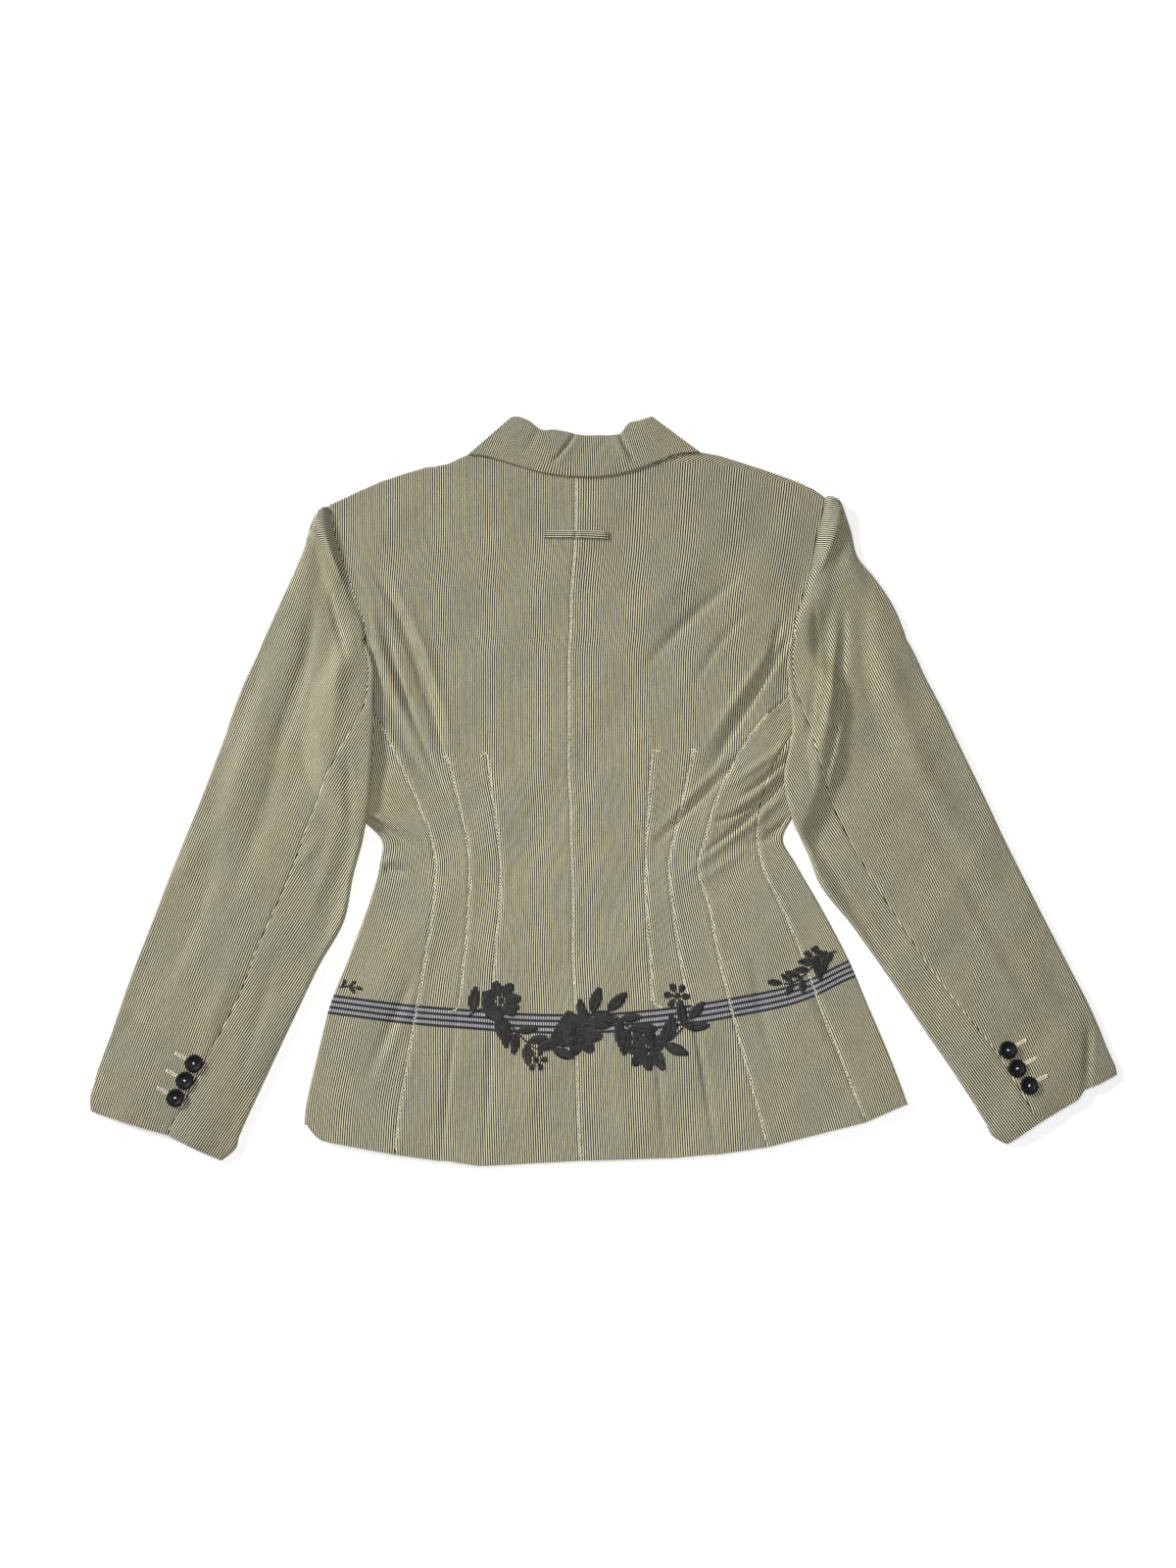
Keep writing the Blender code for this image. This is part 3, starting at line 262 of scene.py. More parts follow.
# Seams that cross the back: line, lowest and highest point, depth
BACK_SEAMS = (
    ("centre", -260, 360, 0.55),
    ("left_seam", -260, 168, 0.60),
    ("right_seam", -260, 168, 0.60),
    ("right_side", -260, 120, 0.60),
    ("left_inner_dart", -127, 96, 0.70),
    ("left_outer_dart", -123, 93, 0.70),
    ("right_inner_dart", -119, 98, 0.70),
    ("right_outer_dart", -119, 99, 0.70),
)
SEAM_WIDTH = 1.5
SEAM_FADE = 8.0
PILLOW_AT = 4.2            # the cloth stands a little proud this far from a seam
PILLOW_WIDTH = 2.4
PILLOW_HEIGHT = 0.28
PUCKER_LENGTH = 8.5
PUCKER_PHASE = 1.7         # from one seam to the next
SEAM_PUCKER = 0.35
PILLOW_PUCKER = 0.8

# Cloth that the darts take up, at each height
TAKE_UP = Table(("y", "inner", "outer"), (
    (-127, 0, 0), (-100, 2, 2), (-60, 6, 5), (-20, 9, 8), (0, 10, 8.5), (20, 9, 7.5),
    (40, 6.5, 5.5), (70, 2.5, 2.2), (97, 0, 0)))
WAIST_DRAW = 0.05          # share by which the stripes of the centre draw together at the waist
SIDE_GRAIN = {"left": 0.7, "right": 0.65}  # line that the side panels' stripes follow, between their edges
WAIST_DRAW_Y = -10.0
WAIST_DRAW_REACH = 60.0
LEAN = {"left": 0.03, "right": 0.10}  # slope of the stripes at each shoulder blade
LEAN_REACH = 150.0
LEAN_FROM = 140.0
LEAN_SOFT = 40.0

# Sleeves below the notch: outer edge, inner fold and share of the width at the back seam
SLEEVE_COLUMNS = ("along", "outer_x", "outer_y", "inner_x", "inner_y", "seam", "height")
SLEEVE_LEFT = Table(SLEEVE_COLUMNS, (
    (0.03, -275, 190, -180, 189, 0.970, 4.4),
    (0.05, -279, 180, -176, 178, 0.965, 4.8),
    (0.10, -288, 158, -173.5, 150, 0.955, 5.2),
    (0.24, -305, 103, -173, 87, 0.767, 6.0),
    (0.36, -321, 55, -177, 31, 0.670, 6.0),
    (0.45, -334, 18, -187, -11, 0.655, 6.0),
    (0.55, -347, -19, -195, -54, 0.620, 6.0),
    (0.62, -357, -49, -212, -84, 0.630, 6.0),
    (0.72, -371, -90, -231, -125, 0.650, 5.6),
    (0.84, -386, -140, -254, -177, 0.622, 5.4),
    (0.95, -399, -184, -276, -228, 0.588, 5.0),
    (0.985, -402, -200, -281, -241, 0.575, 4.6),
    (1.00, -401, -208, -290, -248, 0.600, 4.0),
))
SLEEVE_RIGHT = Table(SLEEVE_COLUMNS, (
    (0.02, 294, 198, 192, 197, 0.970, 4.4),
    (0.05, 300, 186, 188.5, 184, 0.965, 4.8),
    (0.10, 308, 166, 188, 155, 0.955, 5.2),
    (0.18, 322, 136, 190, 117, 0.890, 6.0),
    (0.29, 338.5, 97, 182, 68, 0.785, 6.4),
    (0.35, 348.5, 74, 187, 40, 0.770, 6.4),
    (0.42, 360.5, 46, 201, 7, 0.765, 6.0),
    (0.48, 369.5, 24, 210, -19, 0.740, 6.0),
    (0.57, 385, -11, 237, -54, 0.760, 6.0),
    (0.65, 398.5, -41, 261, -88, 0.765, 6.0),
    (0.77, 420, -87, 293, -137, 0.735, 5.6),
    (0.90, 441, -134, 326, -188, 0.685, 5.4),
    (0.97, 452, -166, 344, -218, 0.683, 5.0),
    (0.99, 455, -174, 351, -230, 0.680, 4.6),
    (1.00, 456, -180, 361, -235, 0.660, 4.0),
))
SLEEVE_ROWS = 204
# How far each cuff's edge lies above the straight line between its corners
CUFF_COLUMNS = ("x", "above")
CUFF_LEFT = Table(CUFF_COLUMNS, ((-401, 0), (-357, 2.5), (-334, 4.5), (-316, 2.0), (-290, 0)))
CUFF_RIGHT = Table(CUFF_COLUMNS, ((361, 0), (387, 2.0), (421, 1.4), (427, 6.0), (440, 3.4), (456, 2.0)))
CUFF_FADE_ROWS = 14
# Outer edge of each sleeve above the notch
CAP_COLUMNS = ("along", "x", "y")
CAP_LEFT = Table(CAP_COLUMNS, (
    (0.0, -219, 320), (0.03, -223, 320), (0.06, -227, 317.5), (0.10, -231, 312),
    (0.17, -234.5, 303), (0.32, -239, 284), (0.76, -261, 226), (1.0, -273, 196)))
CAP_RIGHT = Table(CAP_COLUMNS, (
    (0.0, 228.5, 330), (0.03, 233, 330), (0.06, 238, 327.5), (0.10, 241, 322.5), (0.15, 243.5, 314),
    (0.24, 247.5, 300), (0.48, 255, 270), (0.60, 266, 256), (0.87, 286, 222), (1.0, 292, 205)))
CAP_TOP = {"left": 2.4, "right": 3.0}   # rise of the armhole's first point to the shoulder's edge
CAP_PUFF = 1.4
CAP_BLEND = 7.0
NOTCH_BLEND = 2.6
NOTCH_ROWS = 28
NOTCH_SEAM = 0.985
NOTCH_OPEN = 3             # rows of the cap beside which the under sleeve already starts
SLEEVE_REST = {"left": 7.4, "right": 8.4}
REST_RAMP = 22.0
REST_MARGIN = 8.0
FRONT_SEAM_INSET = 14.0    # of a sleeve's front seam, underneath, from its inner edge
SLEEVE_SWELL = 2.6
SLEEVE_DEPTH = 1.8
BODY_DEPTH = 1.55
FOLD_START_HEIGHT = 1.8    # both layers of a sleeve where its fold starts to lie on the body
FOLD_START_ROWS = 26
SLEEVE_SEAM_DEPTH = 0.6
TURNING_WIDTH = 1.2        # cloth of the under sleeve that lies under the seam
CAP_SINK = 0.4             # of a sleeve's edge below the body's face at the armhole seam
# Shares of a sleeve's width over which its loft, its puff at the cap and its folds run out
LOFT_FADE = 0.3
PUFF_FADE = 0.12
SLEEVE_FOLD_FADE = 0.07
SLEEVE_WAVE_SHIFT = (40.0, -25.0)
FOLD_MOST = 0.45           # largest share of the width that the outer fold takes
FOLD_LEAST = 0.2           # least way from the back seam to the inner fold
CAP_STRIP_LINES = 8
TOP_LINES = 56
TOP_UNDER_LINES = 12
UNDER_SHARES = (0, 0.02, 0.045, *np.linspace(0.08, 1, 22))
UNDER_UNDER_LINES = 6
SLEEVE_FOLDS = {
    "left": (
        (-229, 317, -216, 282, -203, 250, 6.0, 3.0, 1.9),
        (-238, 306, -226, 268, -216, 224, 5.0, 8.0, -1.2),
        (-214, 240, -207, 212, -197, 178, 1.8, 4.0, -1.9),
        (-228, 236, -238, 160, -264, 84, 6.0, 7.0, -2.0),
        (-210, 214, -204, 150, -212, 96, 7.0, 6.0, 1.3),
        (-262, 176, -284, 90, -306, 10, 12.0, 9.0, 1.5),
        (-246, 140, -262, 60, -290, -30, 8.0, 6.0, -1.1),
        (-296, 60, -318, -30, -350, -130, 9.0, 12.0, -1.2),
        (-196, 60, -208, 0, -230, -66, 8.0, 6.0, 1.0),
        (-276, -60, -296, -120, -312, -190, 7.0, 9.0, 0.9),
        (-196, 92, -190, 60, -192, 22, 3.0, 5.0, -1.1),
        (-214, 30, -226, 8, -246, -8, 5.0, 4.0, 0.8),
        (-250, -80, -262, -130, -276, -180, 4.0, 6.0, -0.8),
    ),
    "right": (
        (238, 322, 230, 286, 214, 252, 3.0, 6.0, 1.9),
        (250, 318, 242, 286, 226, 246, 8.0, 5.0, -1.3),
        (240, 222, 233, 144, 210, 40, 1.7, 4.5, -2.9),
        (230, 218, 224, 150, 206, 76, 4.5, 2.8, 1.8),
        (213, 224, 211, 152, 195, 80, 1.8, 3.5, -2.3),
        (262, 250, 256, 180, 268, 106, 8.0, 8.0, -1.4),
        (268, 210, 290, 110, 330, 20, 12.0, 12.0, 1.6),
        (300, 60, 336, -20, 384, -110, 12.0, 9.0, -1.2),
        (214, 20, 240, -30, 284, -100, 8.0, 8.0, 1.0),
        (196, 118, 200, 92, 206, 60, 3.0, 3.0, -1.2),
        (330, -20, 356, -80, 386, -140, 8.0, 7.0, 0.8),
        (434, -138, 433, -160, 429, -196, 2.0, 5.0, -1.6),
    ),
}
# A stripe's own path down each sleeve
GRAIN_COLUMNS = ("y", "x")
GRAIN = {name: Table(GRAIN_COLUMNS, rows) for name, rows in {
    "top_left": ((330, -202), (220, -240), (100, -284), (0, -321), (-120, -363), (-230, -400)),
    "under_left": ((200, -190), (100, -243), (0, -300), (-120, -373), (-250, -455)),
    "top_right": ((330, 222), (220, 266), (100, 316), (0, 360), (-120, 412), (-230, 456)),
    "under_right": ((200, 186), (110, 228), (0, 292), (-120, 376), (-240, 462)),
}.items()}
# Strip beside the armhole where the stripes run across: its width at the shoulder, where it ends,
# over what length it narrows, and the slope of its stripes at the shoulder and at its end
CAP_STRIP = {"left": (16.0, 262.0, 28.0, 0.08, 0.42), "right": (19.0, 246.0, 56.0, 0.26, 0.36)}
STRIP_LEAST = 0.8          # width below its end
STRIP_MOST = 0.9           # largest share of the sleeve's upper side
STRIP_STEP = 0.15          # from the strip to the next line of points

# Collar: outer edge, roll line and height of the roll, from the left fold to the right one
COLLAR = Table(("along", "edge_x", "edge_y", "roll_x", "roll_y", "roll_z"), (
    (0.00, -95, 369, -58, 402, 9.0),
    (0.06, -83, 368, -51, 403, 9.8),
    (0.14, -67, 364, -40, 399, 10.0),
    (0.23, -48, 358, -29, 391, 9.2),
    (0.33, -28, 352, -17, 391, 8.6),
    (0.42, -11, 349, -5, 389, 8.2),
    (0.50, 5, 348, 8, 386, 7.8),
    (0.58, 22, 348, 22, 386, 7.9),
    (0.66, 38, 350, 35, 386, 8.2),
    (0.73, 51, 353, 43, 388, 8.8),
    (0.78, 60, 356, 49, 396, 9.4),
    (0.86, 77, 363, 59, 399, 10.0),
    (0.94, 97, 370, 68, 402, 9.8),
    (1.00, 115, 371, 73, 403, 9.0),
))
COLLAR_FOLDS = (
    (3, 391, -7, 376, -20, 359, 2.4, 1.2, -2.4),
    (8, 390, -3, 374, -16, 356, 4.0, 3.0, 0.9),
    (42, 389, 48, 375, 57, 361, 1.2, 2.6, -2.3),
    (36, 388, 43, 374, 50, 358, 3.0, 4.0, 0.8),
    (-30, 394, -36, 382, -46, 366, 3.0, 3.0, -0.7),
)
# Slope of the collar's stripes from the upright, along its width
COLLAR_GRAIN = Table(("x", "slope"), (
    (-90, 0.40), (-32, 0.35), (0, -0.02), (32, -0.05), (60, -0.33), (110, -0.38)))
COLLAR_GRAIN_FROM = 374.0
COLLAR_EDGE_Z = 8.0
COLLAR_THICK = 1.5
COLLAR_ROWS = 24
COLLAR_STEPS = 120
COLLAR_FIRST = 0.012       # share of the width at the first row past the turned edge
COLLAR_FOLD_FADE = 0.3
COLLAR_THIN = 0.3          # the turned edge is at least this thick
COLLAR_UNDER_STEPS = 36
# Shift along Y and drop of the rows round the turned edge and of those down inside the roll
COLLAR_TURNED = ((0.0, -1.5), (-0.45, -1.1), (-0.6, -0.6), (-0.3, -0.15))
COLLAR_INSIDE = ((0.5, -0.35), (0.9, -1.0), (0.9, -3.0))
COLLAR_END_LEFT = ((-88, 262), (-26, 256))
COLLAR_END_RIGHT = ((104, 262), (42, 256))
STAND_FLARE = 1.15
STAND_SHARES = (0.1, 0.9)
STAND_INSET = 3.2
STAND_DROP = 0.8
STAND_STEPS = 60
STAND_ROWS = 10

# Hanger tab
TAB_CENTRE = (2.6, 293.0)
TAB_SIZE = (57.0, 7.0, 1.1)
TAB_SLOPE = math.radians(-1.0)
TAB_CROWN = 0.4
TAB_END = 4.0
TAB_POINTS = (80, 15)      # along it and across it
TAB_BULGE = 0.5            # the strip stands off the back a little, in a slow wave
TAB_WAVE = (0.6, 0.4, 9.0)  # steady share, share of the wave and its length over 2 pi
TAB_LIFT = 0.25
TAB_ROUND = (0.35, 0.65, 0.05)  # flat and round share of its height, and reach past its edge
TAB_STITCH_INSET = (1.6, 0.6)  # from the short and the long edge
TAB_STITCH_PITCH = 1.1
TAB_STITCH_HALF = 0.45
TAB_STITCH_LIFT = 0.75
TAB_STITCH_RADIUS = 0.3

# Cuff buttons: centre of each, and the way that its buttonhole points
BUTTONS = {"left": ((-315, -169), (-322, -183), (-329, -197)),
           "right": ((364, -158), (371, -173), (380, -187))}
BUTTON_PROFILE = ((0.0, 1.45), (3.0, 1.5), (4.4, 1.75), (5.2, 2.25), (5.9, 2.42), (6.7, 2.3),
                  (7.3, 1.8), (7.5, 1.2), (7.4, 0.6), (6.8, 0.1), (6.2, 0.0), (0.0, 0.0))
BUTTON_RADIUS = 7.5
BUTTON_FACETS = 56
BUTTON_SPOTS = ((0, 0), (-1, 0), (1, 0), (0, -1), (0, 1))
HOLE_WAY = {"left": math.radians(152), "right": math.radians(28)}
HOLE_LENGTH = 9.5
HOLE_WIDTH = 1.7
HOLE_CORD = 0.5
HOLE_PITCH = 0.8
HOLE_CROSS = 0.55
HOLE_SLANT = 0.3
HOLE_LIFT = 0.15
HOLE_ENDS = (-0.3, 0.4)    # the two threads of the bar at the buttonhole's end
HOLE_END_AT = 0.6
HOLE_END_HALF = 0.8
HOLE_END_LIFT = 0.25
BAR_TURN = 0.7             # from one button of a cuff to the next
BAR_OFFSETS = (-0.28, 0.28)
BAR_HALF = 1.0
BAR_HEIGHT = 1.75
BAR_RADIUS = 0.32

# Hem band: its middle line, the spacing of its four dark lines and their width
BAND = Table(("x", "y"), (
    (-225, -117), (-203, -120), (-131, -129), (-94, -132), (-33, -136), (20, -136), (73, -132),
    (134, -123), (203, -106), (230, -93), (290, -72)))
BAND_SPACING = 4.8
BAND_LINES = 4
BAND_LINE_WIDTH = 2.3
NO_BAND = 1000.0           # distance that leaves a sheet without the band

STRIPE_PERIOD = 1.9
THREAD_PITCH = 0.5

# Stitching: each stitch, the gap after it and how far the two rows stand apart
STITCH_LENGTH = 2.1
STITCH_GAP = 1.1
STITCH_RADIUS = 0.46
STITCH_ROWS_APART = 1.1
STITCH_TILT = 0.16
STITCH_LIFT = 0.12
HOOK_ROWS_APART = 0.9
# How unevenly the stitches lie: along the row, in angle and to the side, and the least and most
# share of the length that is half a stitch and share of the radius
STITCH_WANDER = 0.25
STITCH_TURN = 0.12
STITCH_SHIFT = 0.15
STITCH_HALF = (0.4, 0.56)
STITCH_THICK = (0.85, 1.1)


def smoothstep(t):
    t = np.clip(t, 0.0, 1.0)
    return t * t * (3 - 2 * t)


def bell(distance, width):
    """1 at no distance, falling softly to nothing past the width."""
    return np.exp(-(distance / width) ** 2)


def body_x(name, y):
    """Place across the body of one of its lines at height y."""
    return BODY.soft(name, y)


def front_x(name, y):
    return FRONT.soft(name, y)


def height_line(x, names, height_of):
    """Height at x of the straight lines that join points of the body's named lines."""
    heights = [height_of(name) for name in names]
    return np.interp(x, [float(body_x(name, y)) for name, y in zip(names, heights)], heights)


def row_shares():
    """Shares of the hem to shoulder height at which the body has a row of points."""
    steps = np.linspace(0, 1, ROWS_BELOW - 1)
    spacing = 1 / (1 + CREASE_CROWDING * bell(steps - CREASES_AT, CREASES_REACH))
    below = HEM_TO_UNDERARM * np.append(0, np.cumsum(spacing)) / spacing.sum()
    under = np.linspace(HEM_TO_UNDERARM, HEM_TO_NOTCH, ROWS_UNDERARM)[1:]
    above = np.linspace(HEM_TO_NOTCH, 1, ROWS_ARMHOLE)[1:]
    return np.concatenate([below, under, above])


ROWS = row_shares()
UNDERARM_ROW = ROWS_BELOW - 1
NOTCH_ROW = ROWS_BELOW + ROWS_UNDERARM - 2


def back_top(name):
    """Height on the floor plan where one line of the back ends, short of the shoulder's edge."""
    if name == "centre":
        return SHOULDER_Y[name]
    if name.startswith("left"):
        return SHOULDER_Y[name] - EDGE_HEIGHT / 2
    return SHOULDER_Y[name] - SHOULDER_STRIP.get(name, SHOULDER_STRIP["right_seam"])


def plan_points(x, y):
    return np.stack([x, y], axis=-1)


def body_line(name):
    """Points of one named line of the body at every row."""
    y = HEM_Y[name] + ROWS * (back_top(name) - HEM_Y[name])
    return plan_points(body_x(name, y), y)


def shoulder_rise(x):
    """How far the shoulder's edge curves above the straight lines between its points."""
    return SHOULDER_RISE.straight("rise", x)


def raised(plan):
    """The plan of a panel with its top rows moved up to the curve of the shoulder."""
    share = smoothstep((ROWS - RISE_FROM) / (1 - RISE_FROM))
    moved = plan.copy()
    moved[..., 1] += share[:, None] * shoulder_rise(plan[-1:, :, 0])
    return moved


def shoulder_y(x):
    return height_line(x, SHOULDER_LINES, SHOULDER_Y.get) + shoulder_rise(x)


def beside_line(fold, x, y):
    """Signed distance from a bent line, positive on its left, and the share of the way along it."""
    start = np.array(fold[0:2], float)
    middle = np.array(fold[2:4], float)
    end = np.array(fold[4:6], float)
    bend = 2 * middle - (start + end) / 2
    t = np.linspace(0, 1, FOLD_STEPS)[:, None]
    points = (1 - t) ** 2 * start + 2 * t * (1 - t) * bend + t ** 2 * end
    nearest = np.full(x.shape, np.inf)
    share = np.zeros(x.shape)
    side = np.ones(x.shape)
    for k in range(FOLD_STEPS - 1):
        step = points[k + 1] - points[k]
        across = (x - points[k][0]) * step[0] + (y - points[k][1]) * step[1]
        s = np.clip(across / (step @ step), 0, 1)
        dx = x - points[k][0] - s * step[0]
        dy = y - points[k][1] - s * step[1]
        distance = np.hypot(dx, dy)
        closer = distance < nearest
        nearest = np.where(closer, distance, nearest)
        share = np.where(closer, (k + s) / (FOLD_STEPS - 1), share)
        side = np.where(closer, np.sign(step[0] * dy - step[1] * dx), side)
    return nearest * side, share


def fold_relief(folds, x, y):
    """Sum of ridges and troughs, each steeper on one side and fading at both ends."""
    x, y = np.broadcast_arrays(np.asarray(x, float), np.asarray(y, float))
    total = np.zeros(x.shape)
    for fold in folds:
        left, right, height = fold[6:9]
        reach = FOLD_REACH * max(left, right)
        near = ((x > min(fold[0:6:2]) - reach) & (x < max(fold[0:6:2]) + reach)
                & (y > min(fold[1:6:2]) - reach) & (y < max(fold[1:6:2]) + reach))
        if not near.any():
            continue
        distance, share = beside_line(fold, x[near], y[near])
        width = np.where(distance > 0, left, right)
        wave = np.sin(np.pi * (FOLD_END + (1 - 2 * FOLD_END) * share))
        total[near] += height * bell(distance, width) * wave
    return total


def waves(x, y):
    """Low uneven waves of cloth that lies loose."""
    total = np.zeros(np.broadcast(x, y).shape)
    for length_x, length_y, phase, height in WAVES:
        total = total + height * np.sin(2 * np.pi * (x / length_x + y / length_y) + phase)
    return total


def seam_relief(x, y):
    """Grooves along the seams and darts of the back, with small puckers beside them."""
    total = np.zeros(np.broadcast(x, y).shape)
    for number, (line, bottom, top, depth) in enumerate(BACK_SEAMS):
        distance = x - body_x(line, y)
        fade = smoothstep((y - bottom) / SEAM_FADE) * smoothstep((top - y) / SEAM_FADE)
        pucker = np.sin(2 * np.pi * y / PUCKER_LENGTH + PUCKER_PHASE * number)
        pillow = bell(np.abs(distance) - PILLOW_AT, PILLOW_WIDTH)
        total -= depth * fade * (1 + SEAM_PUCKER * pucker) * bell(distance, SEAM_WIDTH)
        total += PILLOW_HEIGHT * fade * (1 + PILLOW_PUCKER * pucker) * pillow
    return total


def body_top(x, y):
    """Height of the back's outer face."""
    inside = np.minimum(x - body_x("left_edge", y), body_x("right_edge", y) - x)
    below = shoulder_y(x) - y - SHOULDER_STRIP["right_seam"]
    rise = smoothstep(inside / EDGE_FADE) * smoothstep(below / SHOULDER_FADE)
    left, right = [np.hypot(x - px, (y - py) * ARMHOLE_SQUASH) for px, py in ARMHOLE_LOWEST]
    swell = BODY_SWELL * rise + ARMHOLE_SWELL * bell(np.minimum(left, right), ARMHOLE_REACH)
    waist = WAIST_FLATTENING * bell(y - WAIST_Y, WAIST_REACH)
    beside_sleeve = (smoothstep((y - BESIDE_FROM) / BESIDE_RAMP)
                     * (1 - smoothstep((BESIDE_X - np.abs(x)) / BESIDE_WIDTH)))
    folds = BODY_DEPTH * fold_relief(BODY_FOLDS, x, y)
    fade = smoothstep(inside / FOLD_EDGE_FADE) * np.where(folds > 0, 1 - beside_sleeve, 1.0)
    relief = folds * np.maximum(fade, WAIST_FOLDS * waist)
    relief = relief + BODY_DEPTH * waves(x, y) * rise
    relief = relief + seam_relief(x, y) * smoothstep(below / SEAM_TOP_FADE)
    to_side = smoothstep((np.abs(x) - LAP_REACH) / LAP_FADE)
    lowest = LAP_TROUGH + (SIDE_TROUGH - LAP_TROUGH) * to_side
    return EDGE_HEIGHT + np.maximum(swell * (1 - waist) + relief, lowest)


def between(a, b, shares):
    return [(1 - s) * a + s * b for s in shares]


def filling(a, b, count):
    """Lines evenly spread between two lines, without the two themselves."""
    return between(a, b, np.linspace(0, 1, count + 2)[1:-1])


def shifted(line, dx, dy=0.0):
    return line + np.array([dx, dy])


def grid(columns):
    """Plan points as an array of rows, columns and the two plan directions."""
    return np.stack(columns, axis=1)


def with_height(plan, height):
    height = np.broadcast_to(np.asarray(height, float), np.shape(plan)[:-1])
    return np.concatenate([plan, height[..., None]], axis=-1)


def sheet_faces(plan, height, thickness=-CLOTH):
    """Outer and inner face of a sheet, the inner one a thickness above or below the outer one."""
    return np.stack([with_height(plan, height), with_height(plan, height + thickness)])


def run_length(points, axis):
    """Length of the way along one axis of a grid of points, up to each point."""
    steps = np.linalg.norm(np.diff(points, axis=axis), axis=-1)
    start = np.zeros_like(np.take(steps, [0], axis=axis))
    return np.concatenate([start, np.cumsum(steps, axis=axis)], axis=axis)


def carry_on(across, points, from_column, sign):
    """Grain coordinate from one column on, as long as the cloth is."""
    length = run_length(points, 1)
    onward = length - length[:, from_column:from_column + 1]
    carried = across[:, from_column:from_column + 1] + sign * onward
    return np.where(np.arange(points.shape[1]) > from_column, carried, across)


def cloth_wall(node, faces, across, band=False, keep=None):
    """One closed sheet of cloth from its outer and inner face, standing for one solid of the part."""
    outer, inner = faces
    rows, columns = outer.shape[:2]
    if keep is None:
        keep = np.ones((rows - 1, columns - 1), bool)
    count = rows * columns
    index = np.arange(count).reshape(rows, columns)
    corners = (index[:-1, :-1], index[:-1, 1:], index[1:, 1:], index[1:, :-1])
    front = np.stack(corners, axis=-1)
    quads = [front[keep], front[keep][:, ::-1] + count]
    padded = np.pad(keep, 1)
    sides = ((padded[1:-1, :-2], 3, 0), (padded[1:-1, 2:], 1, 2),
             (padded[:-2, 1:-1], 0, 1), (padded[2:, 1:-1], 2, 3))
    for neighbour, first, second in sides:
        rim = front[keep & ~neighbour]
        p = rim[:, first]
        q = rim[:, second]
        quads.append(np.stack([q, p, p + count, q + count], axis=-1))
    points = np.concatenate([outer.reshape(-1, 3), inner.reshape(-1, 3)])
    along = run_length(outer, 0)
    from_band = np.full((rows, columns), NO_BAND)
    if band:
        from_band = outer[..., 1] - BAND.soft("y", outer[..., 0])
    layers = [(name, plan_points(across, other).reshape(-1, 2) * MM)
              for name, other in (("grain", along), ("band", from_band))]
    obj = mesh_object(node + "_cloth", points, np.concatenate(quads), layers)
    obj.data.materials.append(MATERIALS["cloth"])
    add_piece(obj, node)


def mesh_object(name, points, faces, layers=()):
    """Mesh from arrays of points in millimetres and of four-cornered faces."""
    used, place = np.unique(faces, return_inverse=True)
    place = place.reshape(faces.shape)
    mesh = bpy.data.meshes.new(name)
    mesh.from_pydata((points[used] * MM).tolist(), [], place.tolist())
    for layer_name, values in layers:
        layer = mesh.uv_layers.new(name=layer_name)
        flat = np.concatenate([values, values])[used][place.reshape(-1)]
        layer.data.foreach_set("uv", flat.astype(np.float32).reshape(-1))
    obj = bpy.data.objects.new(name, mesh)
    bpy.context.scene.collection.objects.link(obj)
    turn_faces_out(mesh)
    mesh.shade_smooth()
    mesh.set_sharp_from_angle(angle=SHARP_ANGLE)
    return obj


def turn_faces_out(mesh):
    shape = bmesh.new()
    shape.from_mesh(mesh)
    bmesh.ops.recalc_face_normals(shape, faces=shape.faces[:])
    shape.to_mesh(mesh)
    shape.free()


def add_piece(obj, node=None):
    """Let a piece move with the blazer and stand for its solid."""
    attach(obj, BODY_NAME)
    if node:
        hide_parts(node)


ARC_ANGLES = [math.pi * k / ARC_STEPS for k in range(1, ARC_STEPS)]
TO_COLLAR = np.array([0.0, 1.0])


def edge_arc(centre, outward, top, bottom, angles=ARC_ANGLES, thickness=CLOTH):
    """Outer and inner face of a folded edge, line by line from its top layer to its bottom one."""
    radius = np.broadcast_to((top - bottom) / 2, len(centre))
    middle = (top + bottom) / 2
    return np.array([[with_height(centre + outward * (reach * math.sin(angle))[:, None],
                                  middle + reach * math.cos(angle)) for angle in angles]
                     for reach in (radius, radius - thickness)])


def back_grain(side, plan, inner_dart, outer_dart):
    """Distance across the stripes from the centre seam, with the cloth that the darts take up."""
    x = plan[..., 0]
    y = plan[..., 1]
    columns = np.arange(plan.shape[1])
    offset = x - body_x("centre", y)
    draw = WAIST_DRAW * bell(y - WAIST_DRAW_Y, WAIST_DRAW_REACH)
    taken = (TAKE_UP.soft("inner", y) * (columns >= inner_dart)
             + TAKE_UP.soft("outer", y) * (columns >= outer_dart))
    above = LEAN_SOFT * np.log1p(np.exp((y - LEAN_FROM) / LEAN_SOFT))
    return offset * (1 + draw) + SIGN[side] * taken - LEAN[side] * offset / LEAN_REACH * above


def dart_columns(line, sign):
    """Columns close together on both sides of a dart."""
    before = [shifted(line, -sign * d) for d in DART_OFFSETS[::-1]]
    after = [shifted(line, sign * d) for d in DART_OFFSETS]
    return before + [line] + after


